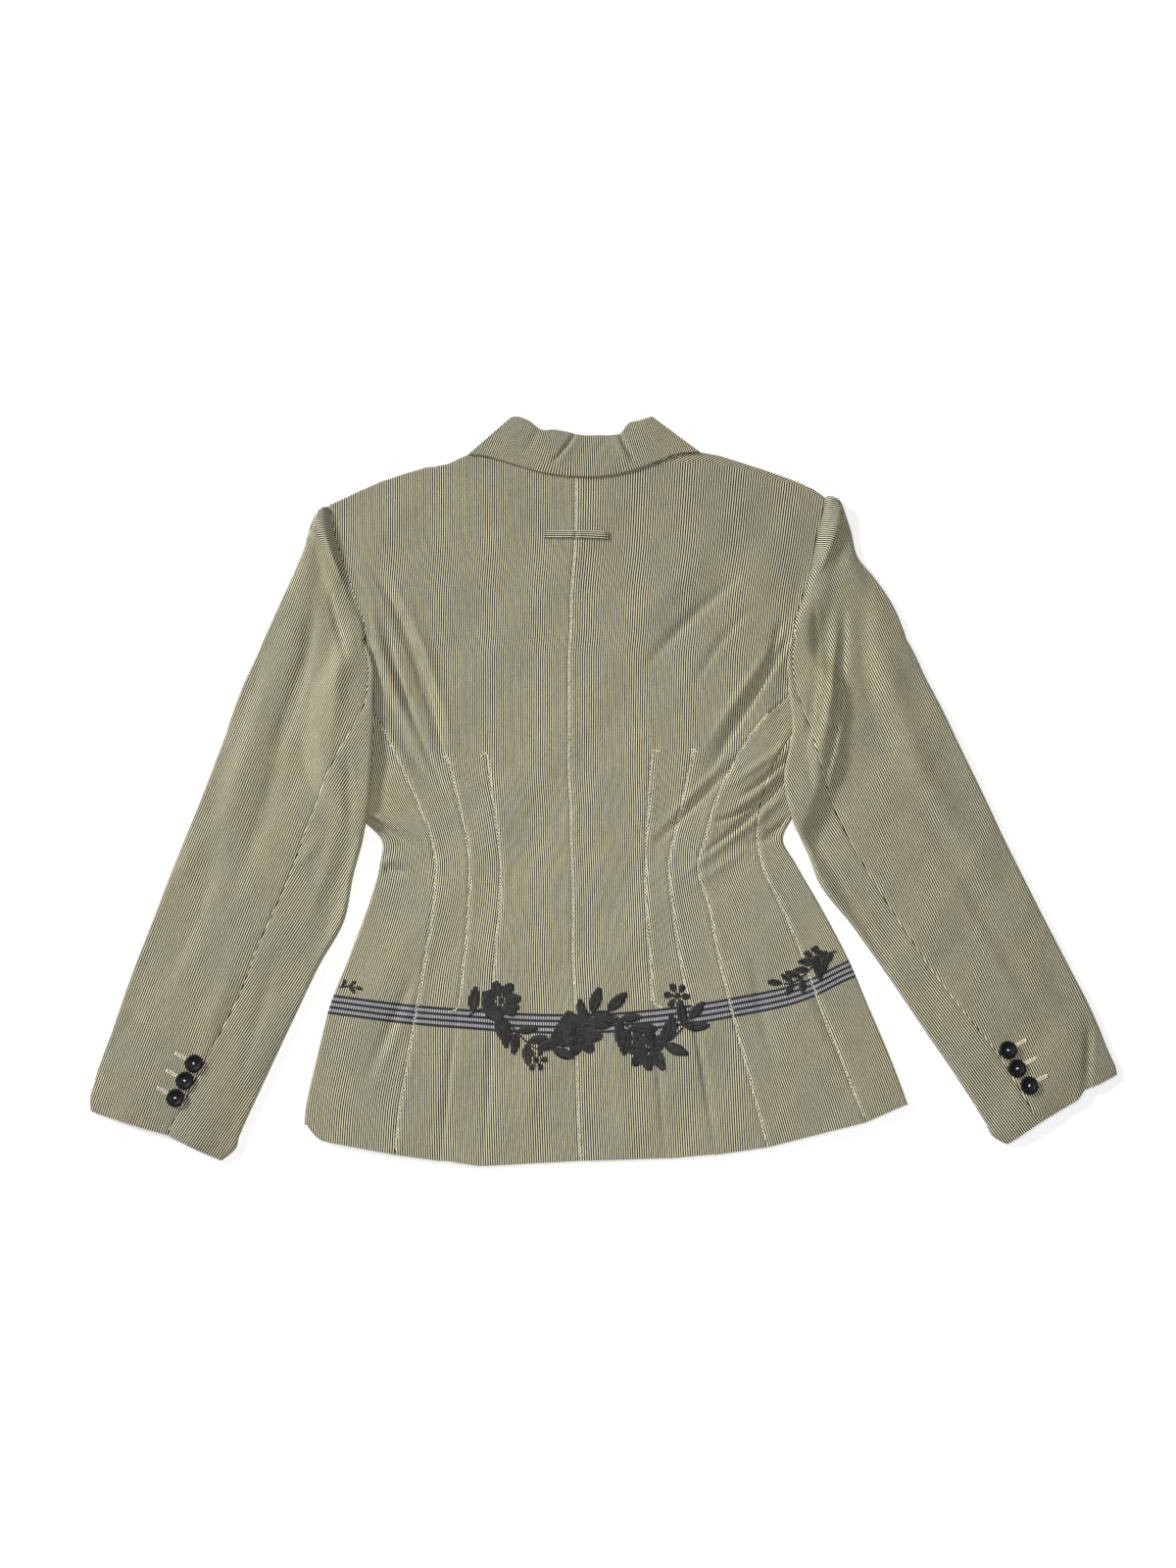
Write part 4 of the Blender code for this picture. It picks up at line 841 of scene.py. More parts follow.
def back_panel(side):
    """One half of the back, from the centre seam to the side-back seam and the armhole."""
    sign = SIGN[side]
    columns = [shifted(body_line("centre"), sign * SEAM_GAP / 2)]
    seam = shifted(body_line(side + "_seam"), -sign * SEAM_GAP / 2)
    dart_at = []
    for dart, count in zip(("_inner_dart", "_outer_dart"), BACK_COLUMNS):
        dart_lines = dart_columns(body_line(side + dart), sign)
        columns += filling(columns[-1], dart_lines[0], count) + dart_lines
        dart_at.append(len(columns) - len(DART_OFFSETS))
    columns += filling(columns[-1], seam, BACK_COLUMNS[-1]) + [seam]
    plan = raised(grid(columns))
    faces = sheet_faces(plan, body_top(plan[..., 0], plan[..., 1]))
    across = back_grain(side, plan, *dart_at)
    keep = np.ones((len(ROWS) - 1, len(columns) - 1), bool)
    if side == "left":
        faces, keep = fold_over_shoulder(faces, keep, len(DART_OFFSETS))
        across = np.concatenate([across] + [across[-1:]] * (faces.shape[1] - len(across)))
    cloth_wall("back_" + side, faces, across, band=True, keep=keep)


def shoulder_floor(x):
    """Height of what the folded shoulder edge lies on: the floor, or the collar's front end."""
    inside = COLLAR_REACH + SHOULDER_RAMP - np.abs(x - COLLAR_MIDDLE)
    return LAP_LIFT * smoothstep(inside / SHOULDER_RAMP)


def fold_over_shoulder(faces, keep, first_column):
    """Carry the top rows of a back over the shoulder's edge to a strip underneath."""
    top = faces[0, -1]
    line = top[:, :2]
    floor = shoulder_floor(top[:, 0])
    arc = edge_arc(line, TO_COLLAR, top[:, 2], floor)
    under = shifted(line, 0, -UNDER_STRIP)
    under[-1, 0] += UNDER_STRIP * ARMHOLE_SLANT
    over = np.concatenate([arc, sheet_faces(np.stack([line, under]), floor, CLOTH)], axis=1)
    extra = np.ones((over.shape[1], keep.shape[1]), bool)
    extra[:, :first_column] = top[:first_column, 0] < COLLAR.columns["edge_x"][0]
    return np.concatenate([faces, over], axis=1), np.concatenate([keep, extra])


def round_corner(plan):
    """The plan of the left side panel with its hem corner rounded off."""
    reach = np.clip((CORNER_FROM - plan[..., 0]) / CORNER_WIDTH, 0, 1)
    low = 1 - smoothstep(ROWS[:len(plan)] / CORNER_ROWS)
    moved = plan.copy()
    moved[..., 1] += CORNER_RISE * reach ** 2 * low[:, None]
    return moved


def side_top_strip(side, inner_name, edge_name, count):
    """Plan and height of the top layer from a seam to the folded edge of the body."""
    seam = shifted(body_line(inner_name), SIGN[side] * SEAM_GAP / 2)
    edge = shifted(body_line(edge_name), -SIGN[side] * EDGE_HEIGHT / 2)
    plan = grid([seam] + filling(seam, edge, count) + [edge])[:UNDERARM_ROW + 1]
    if side == "left":
        plan = round_corner(plan)
    height = body_top(plan[..., 0], plan[..., 1])
    blend = smoothstep(np.abs(plan[:, -1:, 0] - plan[..., 0]) / EDGE_BLEND)
    return plan, EDGE_HEIGHT + blend * (height - EDGE_HEIGHT)


def wrapped_side(side, plan, height):
    """Faces of a top strip and of its folded edge, down to the floor."""
    arc = edge_arc(plan[:, -1], np.array([float(SIGN[side]), 0.0]), EDGE_HEIGHT, 0.0)
    return np.concatenate([sheet_faces(plan, height), arc.swapaxes(1, 2)], axis=2)


def strip_grain(plan, inner_name, outer_name, share):
    """Distance across stripes that run between a panel's two edges."""
    y = plan[..., 1]
    reference = (1 - share) * body_x(inner_name, y) + share * body_x(outer_name, y)
    return plan[..., 0] - reference


def side_back_left():
    """Left side panel: from the side-back seam round the body's edge to its front seam."""
    plan, height = side_top_strip("left", "left_seam", "left_edge", SIDE_LEFT_COLUMNS)
    under = grid([shifted(plan[:, -1], step * UNDER_STRIP) for step in range(3)])
    faces = np.concatenate([wrapped_side("left", plan, height), sheet_faces(under, 0.0, CLOTH)], axis=2)
    across = strip_grain(faces[0], "left_seam", "left_edge", SIDE_GRAIN["left"])
    across = carry_on(across, faces[0], plan.shape[1] - 1, -1)
    cloth_wall("side_back_left", faces, across, band=True)


def side_back_right():
    """Right side panel, flat between the side-back seam and the side seam."""
    start = shifted(body_line("right_seam"), SEAM_GAP / 2)
    end = shifted(body_line("right_side"), -SEAM_GAP / 2)
    plan = grid([start] + filling(start, end, SIDE_RIGHT_COLUMNS) + [end])[:UNDERARM_ROW + 1]
    across = strip_grain(plan, "right_seam", "right_side", SIDE_GRAIN["right"])
    cloth_wall("side_back_right", sheet_faces(plan, body_top(plan[..., 0], plan[..., 1])), across,
               band=True)


def front_line(name, drop):
    """Points of one line of a front at every row, from the hem to just short of the shoulder."""
    bottom = height_line(float(front_x(name, FRONT.at[0])), HEM_Y, HEM_Y.get)
    y = bottom + ROWS * (FRONT_TOP - drop - bottom)
    return plan_points(front_x(name, y), y)


def front_outer_line(side, drop, under_edge):
    """Outer line of a front: the body's edge below the underarm and the armhole above it."""
    hem = HEM_Y[side + "_edge"]
    edge = shifted(body_line(side + "_edge"), -SIGN[side] * under_edge)
    y = hem + ROWS * (SHOULDER_Y[side + "_seam"] - drop - hem)
    armhole = plan_points(body_x(side + "_seam", y) - SIGN[side] * UNDER_GAP, y)
    return np.where(np.arange(len(ROWS))[:, None] <= UNDERARM_ROW, edge, armhole)


def front_under_columns(side, outer_line, drop):
    """Plan and height of a front on the floor side, from its outer line to its inner edge."""
    lift = front_line(side + "_lift", drop)
    inner = front_line(side + "_inner", drop)
    ramp = shifted(lift, SIGN[side] * LAPEL_RAMP)
    columns = [outer_line]
    ends = []
    for line, count in zip((ramp, lift, inner), FRONT_GAPS):
        columns += filling(columns[-1], line, count) + [line]
        ends.append(len(columns) - 1)
    plan = grid(columns)
    top = shoulder_y(plan[-1, :, 0]) - drop
    plan[:, 1:, 1] += (ROWS[:, None] ** TOP_BEND * (top - plan[-1, :, 1])[None, :])[:, 1:]
    lifted = np.full(len(ROWS), LAP_LIFT)
    if side == "right":
        lifted = LAP_LIFT * smoothstep((lift[:, 1] - RIGHT_LIFT_FROM) / RIGHT_LIFT_RAMP)
    ramp_share = np.clip((np.arange(plan.shape[1]) - ends[0]) / (ends[1] - ends[0]), 0, 1)
    height = smoothstep(ramp_share)[None, :] * lifted[:, None]
    over_collar = smoothstep((plan[..., 1] - COLLAR_END_LEFT[0][1] - LAPEL_RAMP) / LAPEL_RAMP)
    return plan, np.maximum(height, over_collar * shoulder_floor(plan[..., 0]))


def front_left():
    """Left front on the floor, lifted where it laps over the right front and on its lapel."""
    drop = EDGE_HEIGHT / 2 + UNDER_STRIP + 2 * UNDER_GAP
    under_edge = EDGE_HEIGHT / 2 + 2 * UNDER_STRIP + UNDER_GAP
    plan, height = front_under_columns("left", front_outer_line("left", drop, under_edge), drop)
    across = plan[..., 0] - front_x("left_inner", plan[..., 1])
    cloth_wall("front_left", sheet_faces(plan, height, CLOTH), across, band=True)


def front_right():
    """Right front: a strip on the back, the body's right edge, the floor side and the shoulder."""
    strip, strip_height = side_top_strip("right", "right_side", "right_edge", FRONT_STRIP_COLUMNS)
    side = wrapped_side("right", strip, strip_height)
    drop = EDGE_HEIGHT / 2
    plan, height = front_under_columns("right", front_outer_line("right", drop, drop), drop)
    top = plan[-1]
    arc = edge_arc(top, TO_COLLAR, EDGE_HEIGHT, height[-1], ARC_ANGLES[::-1])
    seam_line = height_line(top[:, 0], SHOULDER_STRIP, back_top) + SEAM_GAP + shoulder_rise(top[:, 0])
    over = between(top, plan_points(top[:, 0], seam_line), RIGHT_OVER_SHARES)
    under = [sheet_faces(plan, height, CLOTH), arc, sheet_faces(np.stack(over), EDGE_HEIGHT)]
    under = np.concatenate(under, axis=1)
    last_row = np.repeat(side[:, -1:], under.shape[1] - len(strip), axis=1)
    faces = np.concatenate([np.concatenate([side, last_row], axis=1), under], axis=2)
    keep = np.ones((faces.shape[1] - 1, faces.shape[2] - 1), bool)
    wrap_columns = side.shape[2]
    keep[len(strip) - 1:, :wrap_columns] = False
    outer = faces[0]
    across = strip_grain(outer, "right_side", "right_edge", 1.0)
    across = carry_on(across, outer, strip.shape[1] - 1, 1)
    across[:, wrap_columns + 1:] = plan[0, 0, 0] - outer[:, wrap_columns + 1:, 0]
    slanted = outer[..., 0] * math.cos(RIGHT_OVER_SLANT) - outer[..., 1] * math.sin(RIGHT_OVER_SLANT)
    across[len(ROWS):] = slanted[len(ROWS):]
    cloth_wall("front_right", faces, across, band=True, keep=keep)


def lapel(side):
    """Lapel folded back under its front, from the V to the notch."""
    away = SIGN[side]
    y = np.linspace(LAPEL.at[0], LAPEL.at[-1], LAPEL_ROWS)
    rise = LAPEL_RISE * smoothstep((y - LAPEL_RISE_FROM) / (LAPEL.at[-1] - LAPEL_RISE_FROM))
    roll = plan_points(front_x(side + "_inner", y) + away, y + rise)
    edge = plan_points(roll[:, 0] + away * LAPEL.soft("width", y), y)
    plan = grid([roll] + filling(roll, edge, LAPEL_GAP) + [edge])
    across = plan[..., 0] * math.cos(LAPEL_SLANT) + away * plan[..., 1] * math.sin(LAPEL_SLANT)
    cloth_wall("lapel_" + side, sheet_faces(plan, 0.0, CLOTH), across)


def sleeve_edges(side):
    """Outer and inner edge points, seam shares and heights at every station of a sleeve."""
    cap, table = {"left": (CAP_LEFT, SLEEVE_LEFT), "right": (CAP_RIGHT, SLEEVE_RIGHT)}[side]
    armhole = body_line(side + "_seam")[NOTCH_ROW:][::-1]
    above = cap.soft_row((1 - ROWS[NOTCH_ROW:][::-1]) / (1 - HEM_TO_NOTCH))
    cap_inner = shifted(armhole, SIGN[side] * SEAM_GAP / 2)
    cap_inner[0, 1] += CAP_TOP[side]
    below = table.soft_row(np.linspace(table.at[0], 1, SLEEVE_ROWS))
    count = len(cap_inner)
    outer = [plan_points(above["x"], above["y"]), plan_points(below["outer_x"], below["outer_y"])]
    inner = [cap_inner, plan_points(below["inner_x"], below["inner_y"])]
    seam = [np.ones(count - NOTCH_OPEN), np.full(NOTCH_OPEN, NOTCH_SEAM), below["seam"]]
    height = [np.full(count, EDGE_HEIGHT), below["height"]]
    return *(np.concatenate(parts) for parts in (outer, inner, seam, height)), count


def sleeve_floor(side, x, y, on_body):
    """Height of what a sleeve's lower layer lies on: the floor or the body beside it."""
    reach = SIGN[side] * (body_x(side + "_edge", y) - x) + REST_MARGIN + REST_RAMP
    return SLEEVE_REST[side] * smoothstep(reach / REST_RAMP) * on_body


def sleeve_relief(side, x, y, share, on_cap):
    """Loft, folds and low waves of a sleeve's upper layer."""
    inside = np.minimum(share, 1 - share)
    swell = (SLEEVE_SWELL * smoothstep(inside / LOFT_FADE)
             + CAP_PUFF * on_cap * smoothstep(inside / PUFF_FADE))
    shift_x, shift_y = SLEEVE_WAVE_SHIFT
    loose = SLEEVE_DEPTH * (fold_relief(SLEEVE_FOLDS[side], x, y) + waves(x + shift_x, y + shift_y))
    return np.maximum(swell + loose * smoothstep(inside / SLEEVE_FOLD_FADE), 0.0)


def cap_turn(side, y):
    """How far the stripes beside the armhole run across at height y, from 0 to 1."""
    bottom, fade = CAP_STRIP[side][1:3]
    return smoothstep((y - bottom) / fade)


def sleeve_grain(name, side, points, strip_columns=0):
    """Distance across the stripes of a sleeve, which turn across near the top of the armhole."""
    x = points[..., 0]
    y = points[..., 1]
    path, ahead, behind = [GRAIN[name].soft("x", y + step) for step in (0, 1, -1)]
    across = (x - path) / np.hypot(1, (ahead - behind) / 2)
    top_slope, end_slope = CAP_STRIP[side][3:]
    strip_slope = end_slope + (top_slope - end_slope) * cap_turn(side, y)
    turned = y + strip_slope * (x - body_x(side + "_seam", y))
    in_strip = (np.arange(x.shape[1]) < strip_columns) & (y > CAP_STRIP[side][1])
    return np.where(in_strip, turned, across)


class Sleeve:
    """One sleeve as a flattened tube, station by station from the shoulder to the cuff.

    A distance is measured across a station, from the outer edge towards the inner one.
    """

    def __init__(self, side):
        self.side = side
        self.outer, self.inner, self.seam, self.height, self.cap_rows = sleeve_edges(side)
        across = self.inner - self.outer
        self.width = np.linalg.norm(across, axis=-1)
        self.direction = across / self.width[:, None]
        number = np.arange(len(self.width))
        self.on_body = (number >= self.cap_rows).astype(float)
        self.near_notch = smoothstep((number - self.cap_rows) / NOTCH_ROWS + 1)
        self.at_cuff = smoothstep((number - number[-1]) / CUFF_FADE_ROWS + 1)
        past_notch = smoothstep((number - self.cap_rows) / FOLD_START_ROWS)
        narrowed = self.height + (FOLD_START_HEIGHT - self.height) * self.near_notch
        opened = FOLD_START_HEIGHT + (self.height - FOLD_START_HEIGHT) * past_notch
        self.inner_height = np.where(self.on_body > 0, opened, narrowed)
        self.front_at = np.where(self.on_body > 0, self.width - FRONT_SEAM_INSET, self.width)

    def lower(self, distance):
        """Points of the lower layer, on the floor or on the body."""
        plan = self.outer + self.direction * distance[:, None]
        cuff = CUFF_LEFT if self.side == "left" else CUFF_RIGHT
        plan[:, 1] += cuff.straight("above", plan[:, 0]) * self.at_cuff
        return with_height(plan, sleeve_floor(self.side, plan[:, 0], plan[:, 1], self.on_body))

    def upper(self, distance):
        """Points of the upper layer, let into the body's face at the armhole seam."""
        low = self.lower(distance)
        x = low[:, 0]
        y = low[:, 1]
        share = distance / self.width
        relief = sleeve_relief(self.side, x, y, share, 1 - self.near_notch)
        from_seam = distance - self.seam * self.width
        relief = relief - SLEEVE_SEAM_DEPTH * bell(from_seam, SEAM_WIDTH) * self.on_body
        both_layers = self.height + (self.inner_height - self.height) * smoothstep(share)
        top = sleeve_floor(self.side, x, y, self.near_notch) + both_layers + relief
        reach = CAP_BLEND + (NOTCH_BLEND - CAP_BLEND) * self.near_notch
        blend = smoothstep((distance - self.width + reach) / reach) * (1 - self.on_body)
        low[:, 2] = (1 - blend) * top + blend * (body_top(x, y) - CAP_SINK)
        return low

    def faces(self, tops, fold_at, radius, outward, bottoms):
        """Faces of a wall: its upper lines, the arc round its fold and its lower lines."""
        centre = self.lower(fold_at)
        bottom = centre[:, 2]
        arc = edge_arc(centre[:, :2], self.direction * outward, bottom + 2 * radius, bottom)
        layers = [np.stack([line, line + (0, 0, thickness)])
                  for lines, thickness in ((tops, -CLOTH), (bottoms, CLOTH)) for line in lines]
        return np.stack(layers[:len(tops)] + list(arc.swapaxes(0, 1)) + layers[len(tops):], axis=2)

    def face_height(self, x, y):
        """Height of the upper layer at some places near the cuff, away from the body."""
        heights = []
        for px, py in zip(x, y):
            span = self.inner - self.outer
            off = np.abs((py - self.outer[:, 1]) * span[:, 0] - (px - self.outer[:, 0]) * span[:, 1])
            row = self.cap_rows + int(np.argmin(off[self.cap_rows:]))
            distance = np.hypot(px - self.outer[row, 0], py - self.outer[row, 1])
            relief = sleeve_relief(self.side, px, py, distance / self.width[row], 0.0)
            groove = SLEEVE_SEAM_DEPTH * bell(distance - self.seam[row] * self.width[row], SEAM_WIDTH)
            heights.append(self.height[row] + float(relief) - groove)
        return np.array(heights)


def top_sleeve(side):
    """Upper side of a sleeve, from the armhole and the back seam round the outer fold."""
    tube = SLEEVES[side]
    seam_at = np.where(tube.seam < 1, tube.seam * tube.width - SEAM_GAP / 2, tube.width)
    start = np.minimum(tube.height / 2, tube.width * FOLD_MOST)
    strip = STRIP_LEAST + CAP_STRIP[side][0] * cap_turn(side, tube.inner[:, 1])
    strip = np.minimum(strip, STRIP_MOST * (seam_at - start))
    strip_end = seam_at - strip - STRIP_STEP
    distances = [seam_at - s * strip for s in np.linspace(0, 1, CAP_STRIP_LINES)]
    distances += [strip_end + s * (start - strip_end) for s in np.linspace(0, 1, TOP_LINES)]
    tops = [tube.upper(d) for d in distances]
    shares = np.linspace(0, 1, TOP_UNDER_LINES)
    bottoms = [tube.lower(start + s * (tube.front_at - start)) for s in shares]
    faces = tube.faces(tops, start, tube.height / 2, -1.0, bottoms)
    stripes = sleeve_grain("top_" + side, side, faces[0], CAP_STRIP_LINES)
    cloth_wall("top_sleeve_" + side, faces, carry_on(stripes, faces[0], len(tops) - 1, SIGN[side]))


def under_sleeve(side):
    """Under side of a sleeve: beside the back seam, round the inner fold and under the top sleeve."""
    tube = SLEEVES[side]
    seam_at = tube.seam * tube.width + SEAM_GAP / 2
    fold_at = np.maximum(tube.width - tube.inner_height / 2, seam_at + FOLD_LEAST)
    turning = tube.upper(seam_at - TURNING_WIDTH) + (0, 0, -CLOTH - SEAM_GAP)
    tops = [turning] + [tube.upper(seam_at + s * (fold_at - seam_at)) for s in UNDER_SHARES]
    shares = np.linspace(0, 1, UNDER_UNDER_LINES)
    bottoms = [tube.lower(fold_at + s * (tube.front_at + SEAM_GAP - fold_at)) for s in shares]
    faces = tube.faces(tops, fold_at, tube.inner_height / 2, 1.0, bottoms)
    faces = faces[:, tube.cap_rows - NOTCH_OPEN:]
    stripes = sleeve_grain("under_" + side, side, faces[0])
    cloth_wall("under_sleeve_" + side, faces, carry_on(stripes, faces[0], len(tops) - 1, -SIGN[side]))


def collar_fall():
    """Fall of the collar: a band folded flat at both sides of the neck, with a turned edge."""
    value = COLLAR.soft_row(np.linspace(0, 1, COLLAR_STEPS))
    edge = plan_points(value["edge_x"], value["edge_y"])
    roll = plan_points(value["roll_x"], value["roll_y"])
    rows = [(0.0, *turned) for turned in COLLAR_TURNED]
    rows += [(t, 0.0, 0.0) for t in np.linspace(COLLAR_FIRST, 1, COLLAR_ROWS)]
    rows += [(1.0, *inside) for inside in COLLAR_INSIDE]
    lines = []
    for t, shift, drop in rows:
        plan = (1 - t) * edge + t * roll + np.array([0.0, shift])
        top = COLLAR_EDGE_Z + smoothstep(t) * (value["roll_z"] - COLLAR_EDGE_Z) + drop
        folds = fold_relief(COLLAR_FOLDS, plan[:, 0], plan[:, 1])
        lines.append(collar_row(plan, top + folds * smoothstep(t / COLLAR_FOLD_FADE), t, drop))
    faces = np.stack(lines, axis=1)
    outer = faces[0]
    lean = COLLAR_GRAIN.straight("slope", outer[..., 0])
    across = outer[..., 0] - lean * (outer[..., 1] - COLLAR_GRAIN_FROM)
    cloth_wall("collar_fall", faces, across)


def collar_row(plan, top, t, drop):
    """One line round the collar: left front end, left fold, back of the neck, right side."""
    thick = COLLAR_THICK + max(drop, -COLLAR_THICK + COLLAR_THIN) if t < 0.5 else CLOTH
    thin = min(thick, CLOTH)
    ends = ((COLLAR_END_LEFT, plan[0], top[0], -1.0), (COLLAR_END_RIGHT, plan[-1], top[-1], 1.0))
    halves = []
    back = plan.copy()
    for corners, fold, fold_top, sign in ends:
        corner = (1 - t) * np.array(corners[0], float) + t * np.array(corners[1], float)
        centre = fold - np.array([sign * fold_top / 2, 0.0])
        back[0 if sign < 0 else -1] = centre
        under = np.array(between(corner, centre, np.linspace(0, 1, COLLAR_UNDER_STEPS)))
        arc = edge_arc(centre[None], np.array([sign, 0.0]), fold_top, 0.0, ARC_ANGLES[::-1], thin)
        halves.append(np.concatenate([sheet_faces(under, 0.0, thin), arc[:, :, 0]], axis=1))
    return np.concatenate([halves[0], sheet_faces(back, top, -thick), halves[1][:, ::-1]], axis=1)


def collar_stand():
    """Stand of the collar, from the neck seam up inside the fall."""
    value = COLLAR.soft_row(np.linspace(*STAND_SHARES, STAND_STEPS))
    roll = plan_points(value["roll_x"], value["roll_y"] - STAND_INSET)
    neck_x = value["roll_x"] * STAND_FLARE
    neck_y = height_line(neck_x, NECK_LINES, back_top) + shoulder_rise(neck_x)
    rise = value["roll_z"] - COLLAR_THICK - LAYER_GAP - STAND_DROP - EDGE_HEIGHT
    shares = np.linspace(0, 1, STAND_ROWS)
    plan = np.stack(between(plan_points(neck_x, neck_y + SEAM_GAP), roll, shares))
    height = EDGE_HEIGHT + shares[:, None] * rise
    cloth_wall("collar_stand", sheet_faces(plan, height), plan[..., 0])


def directions(angle):
    """Unit vectors along an angle and a quarter turn to its left."""
    forward = np.array([math.cos(angle), math.sin(angle)])
    return forward, np.array([-forward[1], forward[0]])


def hanger_tab():
    """Narrow strip sewn across the centre back below the collar, its stripes along it."""
    length, width, thick = TAB_SIZE
    forward, beside = directions(TAB_SLOPE)
    across = np.linspace(-length / 2, length / 2, TAB_POINTS[0])
    offsets = np.linspace(-width / 2, width / 2, TAB_POINTS[1])
    plan = np.array(TAB_CENTRE) + across[None, :, None] * forward + offsets[:, None, None] * beside
    base = body_top(plan[..., 0], plan[..., 1]) + LAYER_GAP
    end = smoothstep((length / 2 - np.abs(across)) / TAB_END)[None, :]
    flat_part, round_part, past_edge = TAB_ROUND
    round_edge = np.sqrt(1 - (offsets / (width / 2 + past_edge)) ** 2)[:, None]
    steady, wave, wave_length = TAB_WAVE
    bottom = base + TAB_BULGE * end * (steady + wave * np.cos(across / wave_length))[None, :]
    top = bottom + TAB_LIFT + (thick + TAB_CROWN * end) * (flat_part + round_part * round_edge)
    stripes = np.repeat(offsets[:, None], len(across), axis=1)
    cloth_wall("hanger_tab", np.stack([with_height(plan, top), with_height(plan, bottom)]), stripes)


def turned_mesh(name, profile, facets):
    """Closed mesh of a profile of radius and height turned round Z."""
    angles = np.linspace(0, 2 * np.pi, facets, endpoint=False)
    shape = bmesh.new()
    rings = []
    for radius, z in profile:
        if radius == 0:
            rings.append([shape.verts.new((0, 0, z * MM))])
        else:
            rings.append([shape.verts.new((radius * MM * math.cos(a), radius * MM * math.sin(a), z * MM))
                          for a in angles])
    for low, high in zip(rings, rings[1:]):
        for k in range(facets):
            ring = [low[k % len(low)], low[(k + 1) % len(low)],
                    high[(k + 1) % len(high)], high[k % len(high)]]
            shape.faces.new(list(dict.fromkeys(ring)))
    bmesh.ops.recalc_face_normals(shape, faces=shape.faces[:])
    mesh = bpy.data.meshes.new(name)
    shape.to_mesh(mesh)
    shape.free()
    mesh.shade_smooth()
    return mesh


def cuff_buttons():
    """Six dished buttons, each with a bar of thread through its middle and its buttonhole."""
    mesh = turned_mesh("button", BUTTON_PROFILE, BUTTON_FACETS)
    mesh.materials.append(MATERIALS["button"])
    for side, places in BUTTONS.items():
        for number, centre in enumerate(np.array(places), start=1):
            spots = centre + BUTTON_RADIUS * np.array(BUTTON_SPOTS)
            base = float(SLEEVES[side].face_height(*spots.T).max()) + LAYER_GAP
            button = bpy.data.objects.new(f"button_{side}_{number}", mesh.copy())
            bpy.context.scene.collection.objects.link(button)
            button.location = (*(centre * MM), base * MM)
            add_piece(button, f"cuff_button_{side}_{number}")
            forward, beside = directions(HOLE_WAY[side] + BAR_TURN * (number - 2))
            bar = Threads()
            for offset in BAR_OFFSETS:
                middle = centre + beside * offset
                ends = np.stack([middle - forward * BAR_HALF, middle + forward * BAR_HALF])
                bar.add(ends, base + BAR_HEIGHT, BAR_RADIUS)
            bar.finish(f"button_thread_{side}_{number}", "bright_thread")
            buttonhole(side, number, centre)


def buttonhole(side, number, centre):
    """Two cords and an end bar of buttonhole stitch, from under a button towards the sleeve's front."""
    face_height = SLEEVES[side].face_height
    along, beside = directions(HOLE_WAY[side])
    cords = Threads()
    reach = np.arange(BUTTON_RADIUS - 1.0, BUTTON_RADIUS + HOLE_LENGTH, HOLE_PITCH)
    for way in (-1, 1):
        for distance in reach:
            cross = HOLE_CROSS * beside * way
            middle = centre + along * distance + beside * way * HOLE_WIDTH / 2
            ends = np.stack([middle - cross, middle + cross + along * HOLE_SLANT])
            cords.add(ends, face_height(*ends.T) + HOLE_LIFT, HOLE_CORD)
    for distance in HOLE_ENDS:
        tip = centre + along * (reach[-1] + HOLE_END_AT + distance)
        half = beside * HOLE_WIDTH * HOLE_END_HALF
        ends = np.stack([tip - half, tip + half])
        cords.add(ends, face_height(*ends.T) + HOLE_END_LIFT, HOLE_CORD)
    cords.finish(f"buttonhole_{side}_{number}", "cream_thread")


class Threads:
    """Many short rounded threads joined into one mesh."""

    SIDES = 6
    RINGS = ((-0.5, 0.3), (-0.38, 1.0), (0.38, 1.0), (0.5, 0.3))

    def __init__(self):
        self.points = []
        self.faces = []

    def add(self, ends, heights, radius, flat=0.75):
        """One thread between two plan points; flat is its height as a share of its width."""
        start, end = with_height(ends, heights)
        length = max(float(np.linalg.norm(end - start)), 0.01)
        forward = (end - start) / length
        sideways = np.cross((0.0, 0.0, 1.0), forward)
        sideways = sideways / max(float(np.linalg.norm(sideways)), 1e-9)
        upward = np.cross(forward, sideways)
        first = sum(len(p) for p in self.points)
        angles = np.arange(self.SIDES) * 2 * np.pi / self.SIDES
        middle = (start + end) / 2
        for share, scale in self.RINGS:
            ring = (middle + forward * share * length
                    + radius * scale * (np.cos(angles)[:, None] * sideways
                                        + flat * np.sin(angles)[:, None] * upward))
            self.points.append(ring)
        for ring in range(len(self.RINGS) - 1):
            for k in range(self.SIDES):
                a = first + ring * self.SIDES + k
                b = first + ring * self.SIDES + (k + 1) % self.SIDES
                self.faces.append((a, b, b + self.SIDES, a + self.SIDES))
        last = first + (len(self.RINGS) - 1) * self.SIDES
        for base in (first, last):
            self.faces.append((base, base + 1, base + 2, base + 3))
            self.faces.append((base, base + 3, base + 4, base + 5))

    def finish(self, name, material):
        points = np.concatenate(self.points)
        obj = mesh_object(name, points, np.array(self.faces))
        obj.data.materials.append(MATERIALS[material])
        add_piece(obj)


def place_along(curve, length, at):
    """Plan point at a distance along a curve, whose own lengths are given point by point."""
    return np.stack([np.interp(at, length, curve[:, k]) for k in (0, 1)], axis=-1)


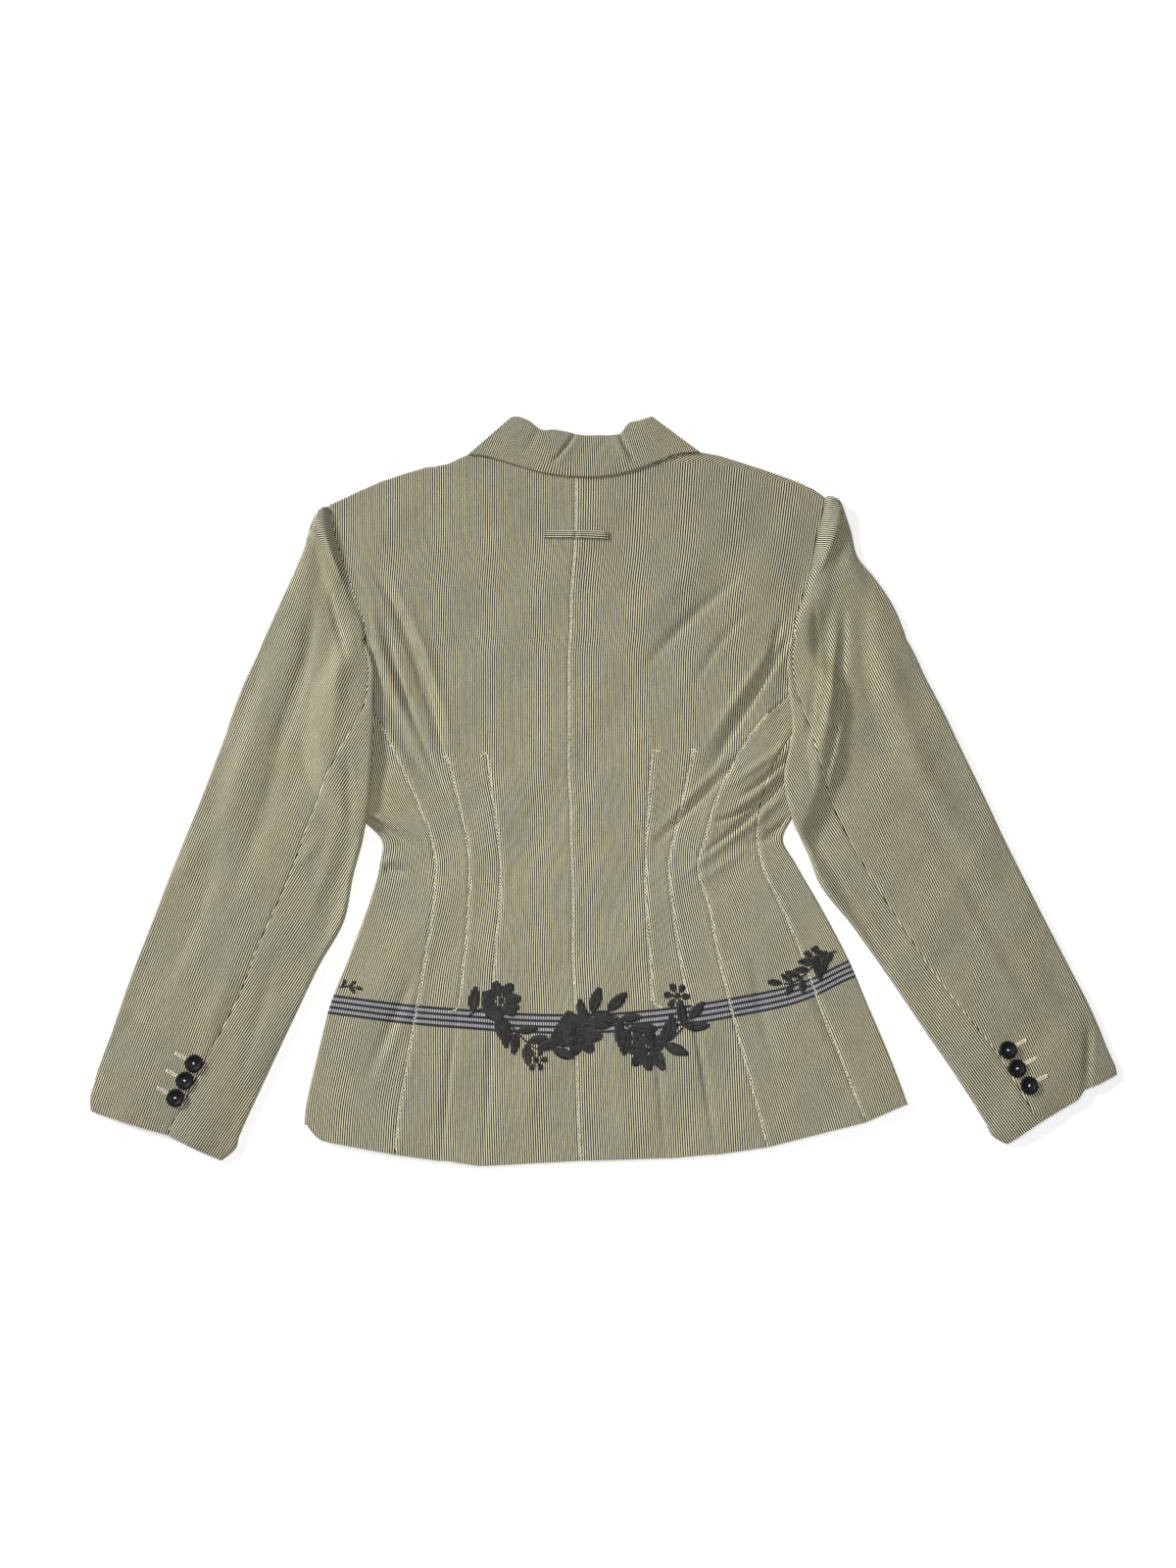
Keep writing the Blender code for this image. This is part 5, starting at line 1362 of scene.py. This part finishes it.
def stitch_along(threads, points, rng, rows_apart=STITCH_ROWS_APART):
    """Two rows of short stitches along a line, uneven as a machine's loose lockstitch is."""
    length = run_length(points[None], 1)[0]
    pitch = STITCH_LENGTH + STITCH_GAP
    for row, offset in enumerate((-rows_apart / 2, rows_apart / 2)):
        for centre in np.arange(pitch * (0.5 + 0.5 * row), length[-1] - 0.5, pitch):
            centre = centre + rng.uniform(-STITCH_WANDER, STITCH_WANDER)
            place = place_along(points, length, centre)
            step = place_along(points, length, min(centre + 1.0, length[-1])) - place
            turn = STITCH_TILT * (1 if row else -1) + rng.uniform(-STITCH_TURN, STITCH_TURN)
            tangent = step / max(float(np.hypot(*step)), 1e-6)
            normal = np.array([-tangent[1], tangent[0]])
            way = tangent * math.cos(turn) + normal * math.sin(turn)
            half = way * STITCH_LENGTH * rng.uniform(*STITCH_HALF)
            middle = place + normal * (offset + rng.uniform(-STITCH_SHIFT, STITCH_SHIFT))
            ends = np.stack([middle - half, middle + half])
            threads.add(ends, body_top(*ends.T) + STITCH_LIFT,
                        STITCH_RADIUS * rng.uniform(*STITCH_THICK))


def line_points(name, bottom, top):
    y = np.linspace(bottom, top, int((top - bottom) / 4) + 2)
    return plan_points(body_x(name, y), y)


# Stitched lines of the back: line, lowest point, highest point
STITCHED = (
    ("centre", -246, 347),
    ("left_inner_dart", -127, 95),
    ("left_outer_dart", -123, 92),
    ("right_inner_dart", -119, 97),
    ("right_outer_dart", -119, 98),
    ("left_seam", -240, 120),
    ("right_seam", -233, 130),
    ("right_side", -212, 40),
)
# Short hooks of thread at the ends of the darts: from the dart's end to the tip
DART_HOOKS = (((-73, 96), (-80, 92)), ((-67, -127), (-75, -129)), ((-107, 93), (-112, 91)),
              ((-95, -123), (-103, -127)), ((69, 98), (76, 96)), ((68, -119), (76, -123)),
              ((103, 99), (109, 96)), ((98, -119), (107, -123)))


def stitching():
    """Cream stitching along the seams and darts of the back, with hooks at the dart ends."""
    rng = np.random.default_rng(7)
    for line, bottom, top in STITCHED:
        threads = Threads()
        stitch_along(threads, line_points(line, bottom, top), rng)
        threads.finish("stitching_" + line, "cream_thread")
    hooks = Threads()
    for start, end in DART_HOOKS:
        stitch_along(hooks, np.array([start, end], float), rng, rows_apart=HOOK_ROWS_APART)
    hooks.finish("stitching_hooks", "cream_thread")


def tab_stitching():
    """Dark stitching across both ends of the hanger tab."""
    threads = Threads()
    length, width, thick = TAB_SIZE
    forward, beside = directions(TAB_SLOPE)
    inset, first = TAB_STITCH_INSET
    half = TAB_STITCH_HALF * beside
    for end in (-1, 1):
        for offset in np.arange(-width / 2 + first, width / 2, TAB_STITCH_PITCH):
            middle = np.array(TAB_CENTRE) + end * forward * (length / 2 - inset) + beside * offset
            height = float(body_top(*middle)) + thick + TAB_STITCH_LIFT
            threads.add(np.stack([middle - half, middle + half]), height, TAB_STITCH_RADIUS)
    threads.finish("tab_stitching", "black_thread")


# Embroidered vines that wind along the hem band: where each starts and ends, how far it lies above
# the band, the length, height and phase of its wave, the length of its leaves and their spacing
VINES = (
    (-88, 98, -6, 96, 16, 0.5, 22.0, 11.5),
    (224, 178, 16, 62, 6, 2.4, 15.0, 8.5),
    (-196, -184, 14, 50, 3, 0.4, 8.0, 5.0),
)
# Blossoms on the vines: centre, radius and number of petals
BLOSSOMS = (
    (-60, -117, 17.0, 7),
    (6, -143, 20.0, 8),
    (62, -158, 17.0, 7),
    (-30, -166, 9.5, 6),
    (88, -113, 11.0, 6),
    (206, -82, 11.0, 6),
)
LEAF_WIDTH = 0.46
PETAL_WIDTH = 0.72
LEAF_ANGLE = math.radians(48)
LEAF_STRAND = 0.8
STRAND_RADIUS = 0.5
KNOT_RADIUS = 2.6
EMBROIDERY_LIFT = 0.35
STRAND_TILT = 0.1          # inner end of a strand up and outer end down
KNOT_LIFT = 0.3
STEM_PITCH = 1.6
STEM_STITCH = 2.3
STEM_RADIUS = 0.7


def vine_curve(vine):
    """Plan points of a stem that waves along the hem band."""
    start, end, above, wave, height, phase = vine[:6]
    x = np.linspace(start, end, int(abs(end - start)) + 2)
    y = BAND.soft("y", x) + above + height * np.sin(2 * np.pi * (x - start) / wave + phase)
    return plan_points(x, y)


def embroider_leaf(threads, root, way, length, rng, width=LEAF_WIDTH):
    """One satin-stitched leaf: slanting strands on both sides of a bare midrib."""
    forward, beside = directions(way)
    tilt = np.array([STRAND_TILT, -STRAND_TILT])
    for distance in np.arange(0.5, length - 0.5, LEAF_STRAND):
        share = distance / length
        reach = length * width / 2 * math.sin(math.pi * share ** 0.8) ** 0.8
        for side in (-1, 1):
            inner = root + forward * distance - beside * side * 0.1
            slant = min(1.8, length - distance)
            outer = inner + (beside * side * reach + forward * slant) * rng.uniform(0.9, 1.05)
            ends = np.stack([inner, outer])
            threads.add(ends, body_top(*ends.T) + EMBROIDERY_LIFT + tilt, STRAND_RADIUS, 0.8)


def embroider_blossom(threads, x, y, radius, petals, rng):
    """A round blossom: satin-stitched petals about a small knot."""
    first = rng.uniform(0, math.pi)
    centre = np.array([x, y], float)
    for number in range(petals):
        way = first + 2 * math.pi * number / petals
        root = centre + KNOT_RADIUS * directions(way)[0]
        embroider_leaf(threads, root, way, radius - KNOT_RADIUS, rng, PETAL_WIDTH)
    for step in np.arange(-KNOT_RADIUS + 0.5, KNOT_RADIUS, 0.8):
        reach = math.sqrt(KNOT_RADIUS ** 2 - step ** 2)
        ends = np.array([(x - reach, y + step), (x + reach, y + step)])
        threads.add(ends, float(body_top(x, y)) + EMBROIDERY_LIFT + KNOT_LIFT, STRAND_RADIUS)


def embroider_vine(threads, vine, rng):
    """A corded stem with leaves on both sides in turn, some of them in pairs, and one at its end."""
    leaf, spacing = vine[6:8]
    curve = vine_curve(vine)
    length = run_length(curve[None], 1)[0]
    for start in np.arange(0, length[-1] - 1, STEM_PITCH):
        ends = place_along(curve, length, [start, start + STEM_STITCH])
        threads.add(ends, body_top(*ends.T) + EMBROIDERY_LIFT, STEM_RADIUS)
    places = np.arange(spacing * 0.4, length[-1] - 2, spacing)
    for number, at in enumerate(places):
        at = at + rng.uniform(-1.5, 1.5)
        root = place_along(curve, length, at)
        ahead = place_along(curve, length, min(at + 2, length[-1]))
        way = math.atan2(*(ahead - root)[::-1])
        sides = (-1, 1) if number % 3 else ((-1) ** number,)
        for side in sides:
            turn = way + side * LEAF_ANGLE * rng.uniform(0.8, 1.25)
            embroider_leaf(threads, root, turn, leaf * rng.uniform(0.8, 1.1), rng)
    end_way = math.atan2(*(curve[-1] - curve[-2])[::-1])
    embroider_leaf(threads, curve[-1], end_way, leaf * 0.9, rng)


def embroidery():
    """Black satin-stitched vines and blossoms over the hem band."""
    rng = np.random.default_rng(21)
    for number, vine in enumerate(VINES, start=1):
        threads = Threads()
        embroider_vine(threads, vine, rng)
        threads.finish(f"embroidery_vine_{number}", "black_thread")
    for number, blossom in enumerate(BLOSSOMS, start=1):
        threads = Threads()
        embroider_blossom(threads, *blossom, rng)
        threads.finish(f"embroidery_blossom_{number}", "black_thread")


class Nodes:
    """Short calls for building a material's node tree."""

    def __init__(self, name):
        self.material = bpy.data.materials.new(name)
        self.material.use_nodes = True
        self.tree = self.material.node_tree
        self.shader = self.tree.nodes["Principled BSDF"]

    def node(self, kind, inputs=None, **settings):
        node = self.tree.nodes.new(kind)
        for key, value in settings.items():
            setattr(node, key, value)
        for key, value in (inputs or {}).items():
            self.put(node.inputs[key], value)
        return node

    def put(self, socket, value):
        if isinstance(value, bpy.types.NodeSocket):
            self.tree.links.new(value, socket)
        else:
            socket.default_value = value

    def shade(self, inputs):
        """Put values or sockets on the shader's own inputs."""
        for key, value in inputs.items():
            self.put(self.shader.inputs[key], value)

    def math(self, operation, a, b=0.0, c=0.0):
        return self.node("ShaderNodeMath", {0: a, 1: b, 2: c}, operation=operation).outputs[0]

    def ramp(self, value, low, high, to_low=0.0, to_high=1.0):
        node = self.node("ShaderNodeMapRange", {0: value, 1: low, 2: high, 3: to_low, 4: to_high},
                         interpolation_type="SMOOTHSTEP")
        return node.outputs[0]

    def mix(self, share, a, b, blend="MIX"):
        node = self.node("ShaderNodeMix", data_type="RGBA", blend_type=blend)
        self.put(node.inputs[0], share)
        self.put(node.inputs[6], a)
        self.put(node.inputs[7], b)
        return node.outputs[2]

    def noise(self, vector, scale, detail=3.0):
        node = self.node("ShaderNodeTexNoise", {"Vector": vector, "Scale": scale, "Detail": detail})
        return node.outputs["Fac"]

    def bump(self, height, distance, strength=1.0, normal=None):
        node = self.node("ShaderNodeBump", {"Height": height, "Distance": distance,
                                            "Strength": strength})
        if normal is not None:
            self.put(node.inputs["Normal"], normal)
        return node.outputs[0]


STRIPE_LIGHT = (0.84, 0.793, 0.55, 1.0)
STRIPE_PALE = (0.72, 0.675, 0.46, 1.0)
STRIPE_DARK = (0.006, 0.006, 0.004, 1.0)
STRIPE_FADED = (0.018, 0.017, 0.010, 1.0)
STRIPE_EDGE = 0.615        # share of a half period that the dark stripe takes
STRIPE_SOFT = 0.06
WARM_TINT = (1.0, 0.985, 0.94, 1.0)
COOL_TINT = (0.93, 0.95, 0.975, 1.0)
BAND_DARK = (0.010, 0.011, 0.014, 1.0)
BAND_PALE = (0.62, 0.61, 0.62, 1.0)
BAND_STRIPE = (0.05, 0.05, 0.06, 1.0)
BAND_LINE_PALE = (0.09, 0.09, 0.10, 1.0)
BAND_SOFT = 0.04
BUTTON_SHEEN = 0.16


def cloth_material():
    """Cream and dark stripes of equal width in a fine weave, with a woven band of dark lines."""
    n = Nodes("pinstripe_cloth")
    grain = n.node("ShaderNodeUVMap", uv_map="grain").outputs[0]
    split = n.node("ShaderNodeSeparateXYZ", {0: grain})
    strip = n.node("ShaderNodeUVMap", uv_map="band").outputs[0]
    band = n.node("ShaderNodeSeparateXYZ", {0: strip})
    place = n.node("ShaderNodeTexCoord").outputs["Object"]
    wander = n.math("MULTIPLY", n.math("SUBTRACT", n.noise(grain, 420.0, 2.0), 0.5), 0.00022)
    across = n.math("ADD", split.outputs[0], wander)
    phase = n.math("PINGPONG", n.math("DIVIDE", across, STRIPE_PERIOD * MM / 2), 1.0)
    light = n.ramp(phase, STRIPE_EDGE - STRIPE_SOFT, STRIPE_EDGE + STRIPE_SOFT)
    slub = n.node("ShaderNodeMapping", {"Vector": grain, "Scale": (1.0, 0.06, 1.0)}).outputs[0]
    thread = n.noise(slub, 1500.0, 2.0)
    mottle = n.noise(place, 16.0, 3.0)
    light_colour = n.mix(n.ramp(thread, 0.3, 0.7), STRIPE_PALE, STRIPE_LIGHT)
    dark_colour = n.mix(n.ramp(thread, 0.3, 0.7), STRIPE_DARK, STRIPE_FADED)
    stripes = n.mix(light, dark_colour, light_colour)
    tint = n.mix(n.ramp(mottle, 0.35, 0.65), WARM_TINT, COOL_TINT)
    tinted = n.mix(1.0, stripes, tint, "MULTIPLY")
    line_phase = n.math("ADD", n.math("DIVIDE", band.outputs[1], BAND_SPACING * MM), 0.5)
    from_line = n.math("PINGPONG", line_phase, 0.5)
    half_line = BAND_LINE_WIDTH / 2 / BAND_SPACING
    line = n.ramp(from_line, half_line + BAND_SOFT, half_line - BAND_SOFT)
    reach = ((BAND_LINES - 1) / 2 * BAND_SPACING + BAND_LINE_WIDTH / 2) * MM
    inside = n.math("LESS_THAN", n.math("ABSOLUTE", band.outputs[1]), reach)
    pale = n.mix(light, BAND_STRIPE, BAND_PALE)
    dark_line = n.mix(n.math("MULTIPLY", light, 0.5), BAND_DARK, BAND_LINE_PALE)
    colour = n.mix(inside, tinted, n.mix(line, pale, dark_line))
    weft = n.math("PINGPONG", n.math("DIVIDE", split.outputs[1], THREAD_PITCH * MM / 2), 1.0)
    weave = n.math("ADD", n.math("MULTIPLY", weft, 0.5), light)
    fine = n.bump(weave, 0.00012, 0.7)
    crepe = n.bump(n.noise(place, 260.0, 4.0), 0.0004, 0.35, fine)
    n.shade({"Base Color": colour, "Roughness": n.ramp(thread, 0.2, 0.8, 0.72, 0.9),
             "Specular IOR Level": 0.25, "Sheen Weight": 0.12, "Sheen Roughness": 0.5,
             "Normal": crepe})
    return n.material


def thread_material(name, colour, shade, roughness, sheen=0.15):
    """Twisted sewing thread, a little darker between its strands."""
    n = Nodes(name)
    strand = n.noise(n.node("ShaderNodeTexCoord").outputs["Object"], 900.0, 2.0)
    n.shade({"Base Color": n.mix(n.ramp(strand, 0.35, 0.65), shade, colour),
             "Roughness": n.ramp(strand, 0.3, 0.7, roughness, roughness + 0.15),
             "Sheen Weight": sheen, "Normal": n.bump(strand, 0.0002, 0.5)})
    return n.material


def button_material():
    """Black matt plastic with a faint grain and a slightly worn sheen."""
    n = Nodes("cuff_button")
    grain = n.noise(n.node("ShaderNodeTexCoord").outputs["Object"], 700.0, 4.0)
    colour = n.mix(n.ramp(grain, 0.35, 0.7), (0.004, 0.004, 0.005, 1.0), (0.011, 0.012, 0.014, 1.0))
    n.shade({"Base Color": colour, "Specular IOR Level": BUTTON_SHEEN,
             "Roughness": n.ramp(grain, 0.3, 0.7, 0.42, 0.58), "Normal": n.bump(grain, 0.00006, 0.4)})
    return n.material


# Lights: name, place, what it points at, size and power
LIGHTS = (
    ("key", (-3.9, 2.25, 2.1), (0.0, 0.05, 0.0), 0.9, 274.0),
    ("overhead", (0.05, -0.10, 0.90), (0.03, -0.04, 0.0), 0.5, 4.8),
)
WORLD_LIGHT = 0.17
FLOOR_GLOW = 0.38
CAMERA_PLACE = (0.0134, -0.1523, 1.2556)
CAMERA_TILT = math.radians(10)
CAMERA_LENS = 33.75
FLOOR_SIZE = 6.0
FLOOR_DROP = 0.0003


def floor_material():
    n = Nodes("floor")
    tone = n.ramp(n.noise(n.node("ShaderNodeTexCoord").outputs["Object"], 3.0, 4.0), 0.3, 0.7)
    n.shade({"Base Color": n.mix(tone, (0.90, 0.90, 0.90, 1.0), (0.92, 0.92, 0.92, 1.0)),
             "Roughness": 0.9, "Emission Color": (1.0, 1.0, 1.0, 1.0),
             "Emission Strength": FLOOR_GLOW})
    return n.material


def aim(obj, target):
    x, y, z = np.array(target) - np.array(obj.location)
    obj.rotation_euler = (math.atan2(math.hypot(x, y), -z), 0, math.atan2(y, x) - math.pi / 2)


def studio():
    """Pale floor, soft light and the camera above the blazer."""
    bpy.ops.mesh.primitive_plane_add(size=FLOOR_SIZE, location=(0, 0, -FLOOR_DROP))
    floor = bpy.context.object
    floor.name = "floor"
    floor.data.materials.append(floor_material())
    for name, place, target, size, power in LIGHTS:
        data = bpy.data.lights.new(name, "AREA")
        data.shape = "DISK"
        data.size = size
        data.energy = power
        light = bpy.data.objects.new(name, data)
        light.location = place
        aim(light, target)
        bpy.context.scene.collection.objects.link(light)
    world = bpy.data.worlds.new("studio")
    world.use_nodes = True
    background = world.node_tree.nodes["Background"]
    background.inputs[0].default_value = (1.0, 1.0, 1.0, 1.0)
    background.inputs[1].default_value = WORLD_LIGHT
    bpy.context.scene.world = world
    bpy.context.scene.view_settings.view_transform = "Standard"
    camera_data = bpy.data.cameras.new("camera")
    camera_data.lens = CAMERA_LENS
    camera_data.clip_start = 0.01
    camera = bpy.data.objects.new("camera", camera_data)
    camera.location = CAMERA_PLACE
    camera.rotation_euler = (CAMERA_TILT, 0, 0)
    bpy.context.scene.collection.objects.link(camera)
    bpy.context.scene.camera = camera


MATERIALS = {
    "cloth": cloth_material(),
    "button": button_material(),
    "cream_thread": thread_material("cream_thread", (0.86, 0.82, 0.66, 1), (0.52, 0.48, 0.34, 1), 0.6),
    "bright_thread": thread_material("bright_thread", (0.92, 0.9, 0.84, 1), (0.7, 0.68, 0.6, 1), 0.5),
    "black_thread": thread_material("black_thread", (0.013, 0.013, 0.013, 1), (0.003, 0.003, 0.003, 1),
                                    0.5, sheen=0.0),
}

SLEEVES = {side: Sleeve(side) for side in SIGN}

studio()
for half in ("left", "right"):
    back_panel(half)
    lapel(half)
    top_sleeve(half)
    under_sleeve(half)
side_back_left()
side_back_right()
front_left()
front_right()
collar_fall()
collar_stand()
hanger_tab()
tab_stitching()
cuff_buttons()
stitching()
embroidery()
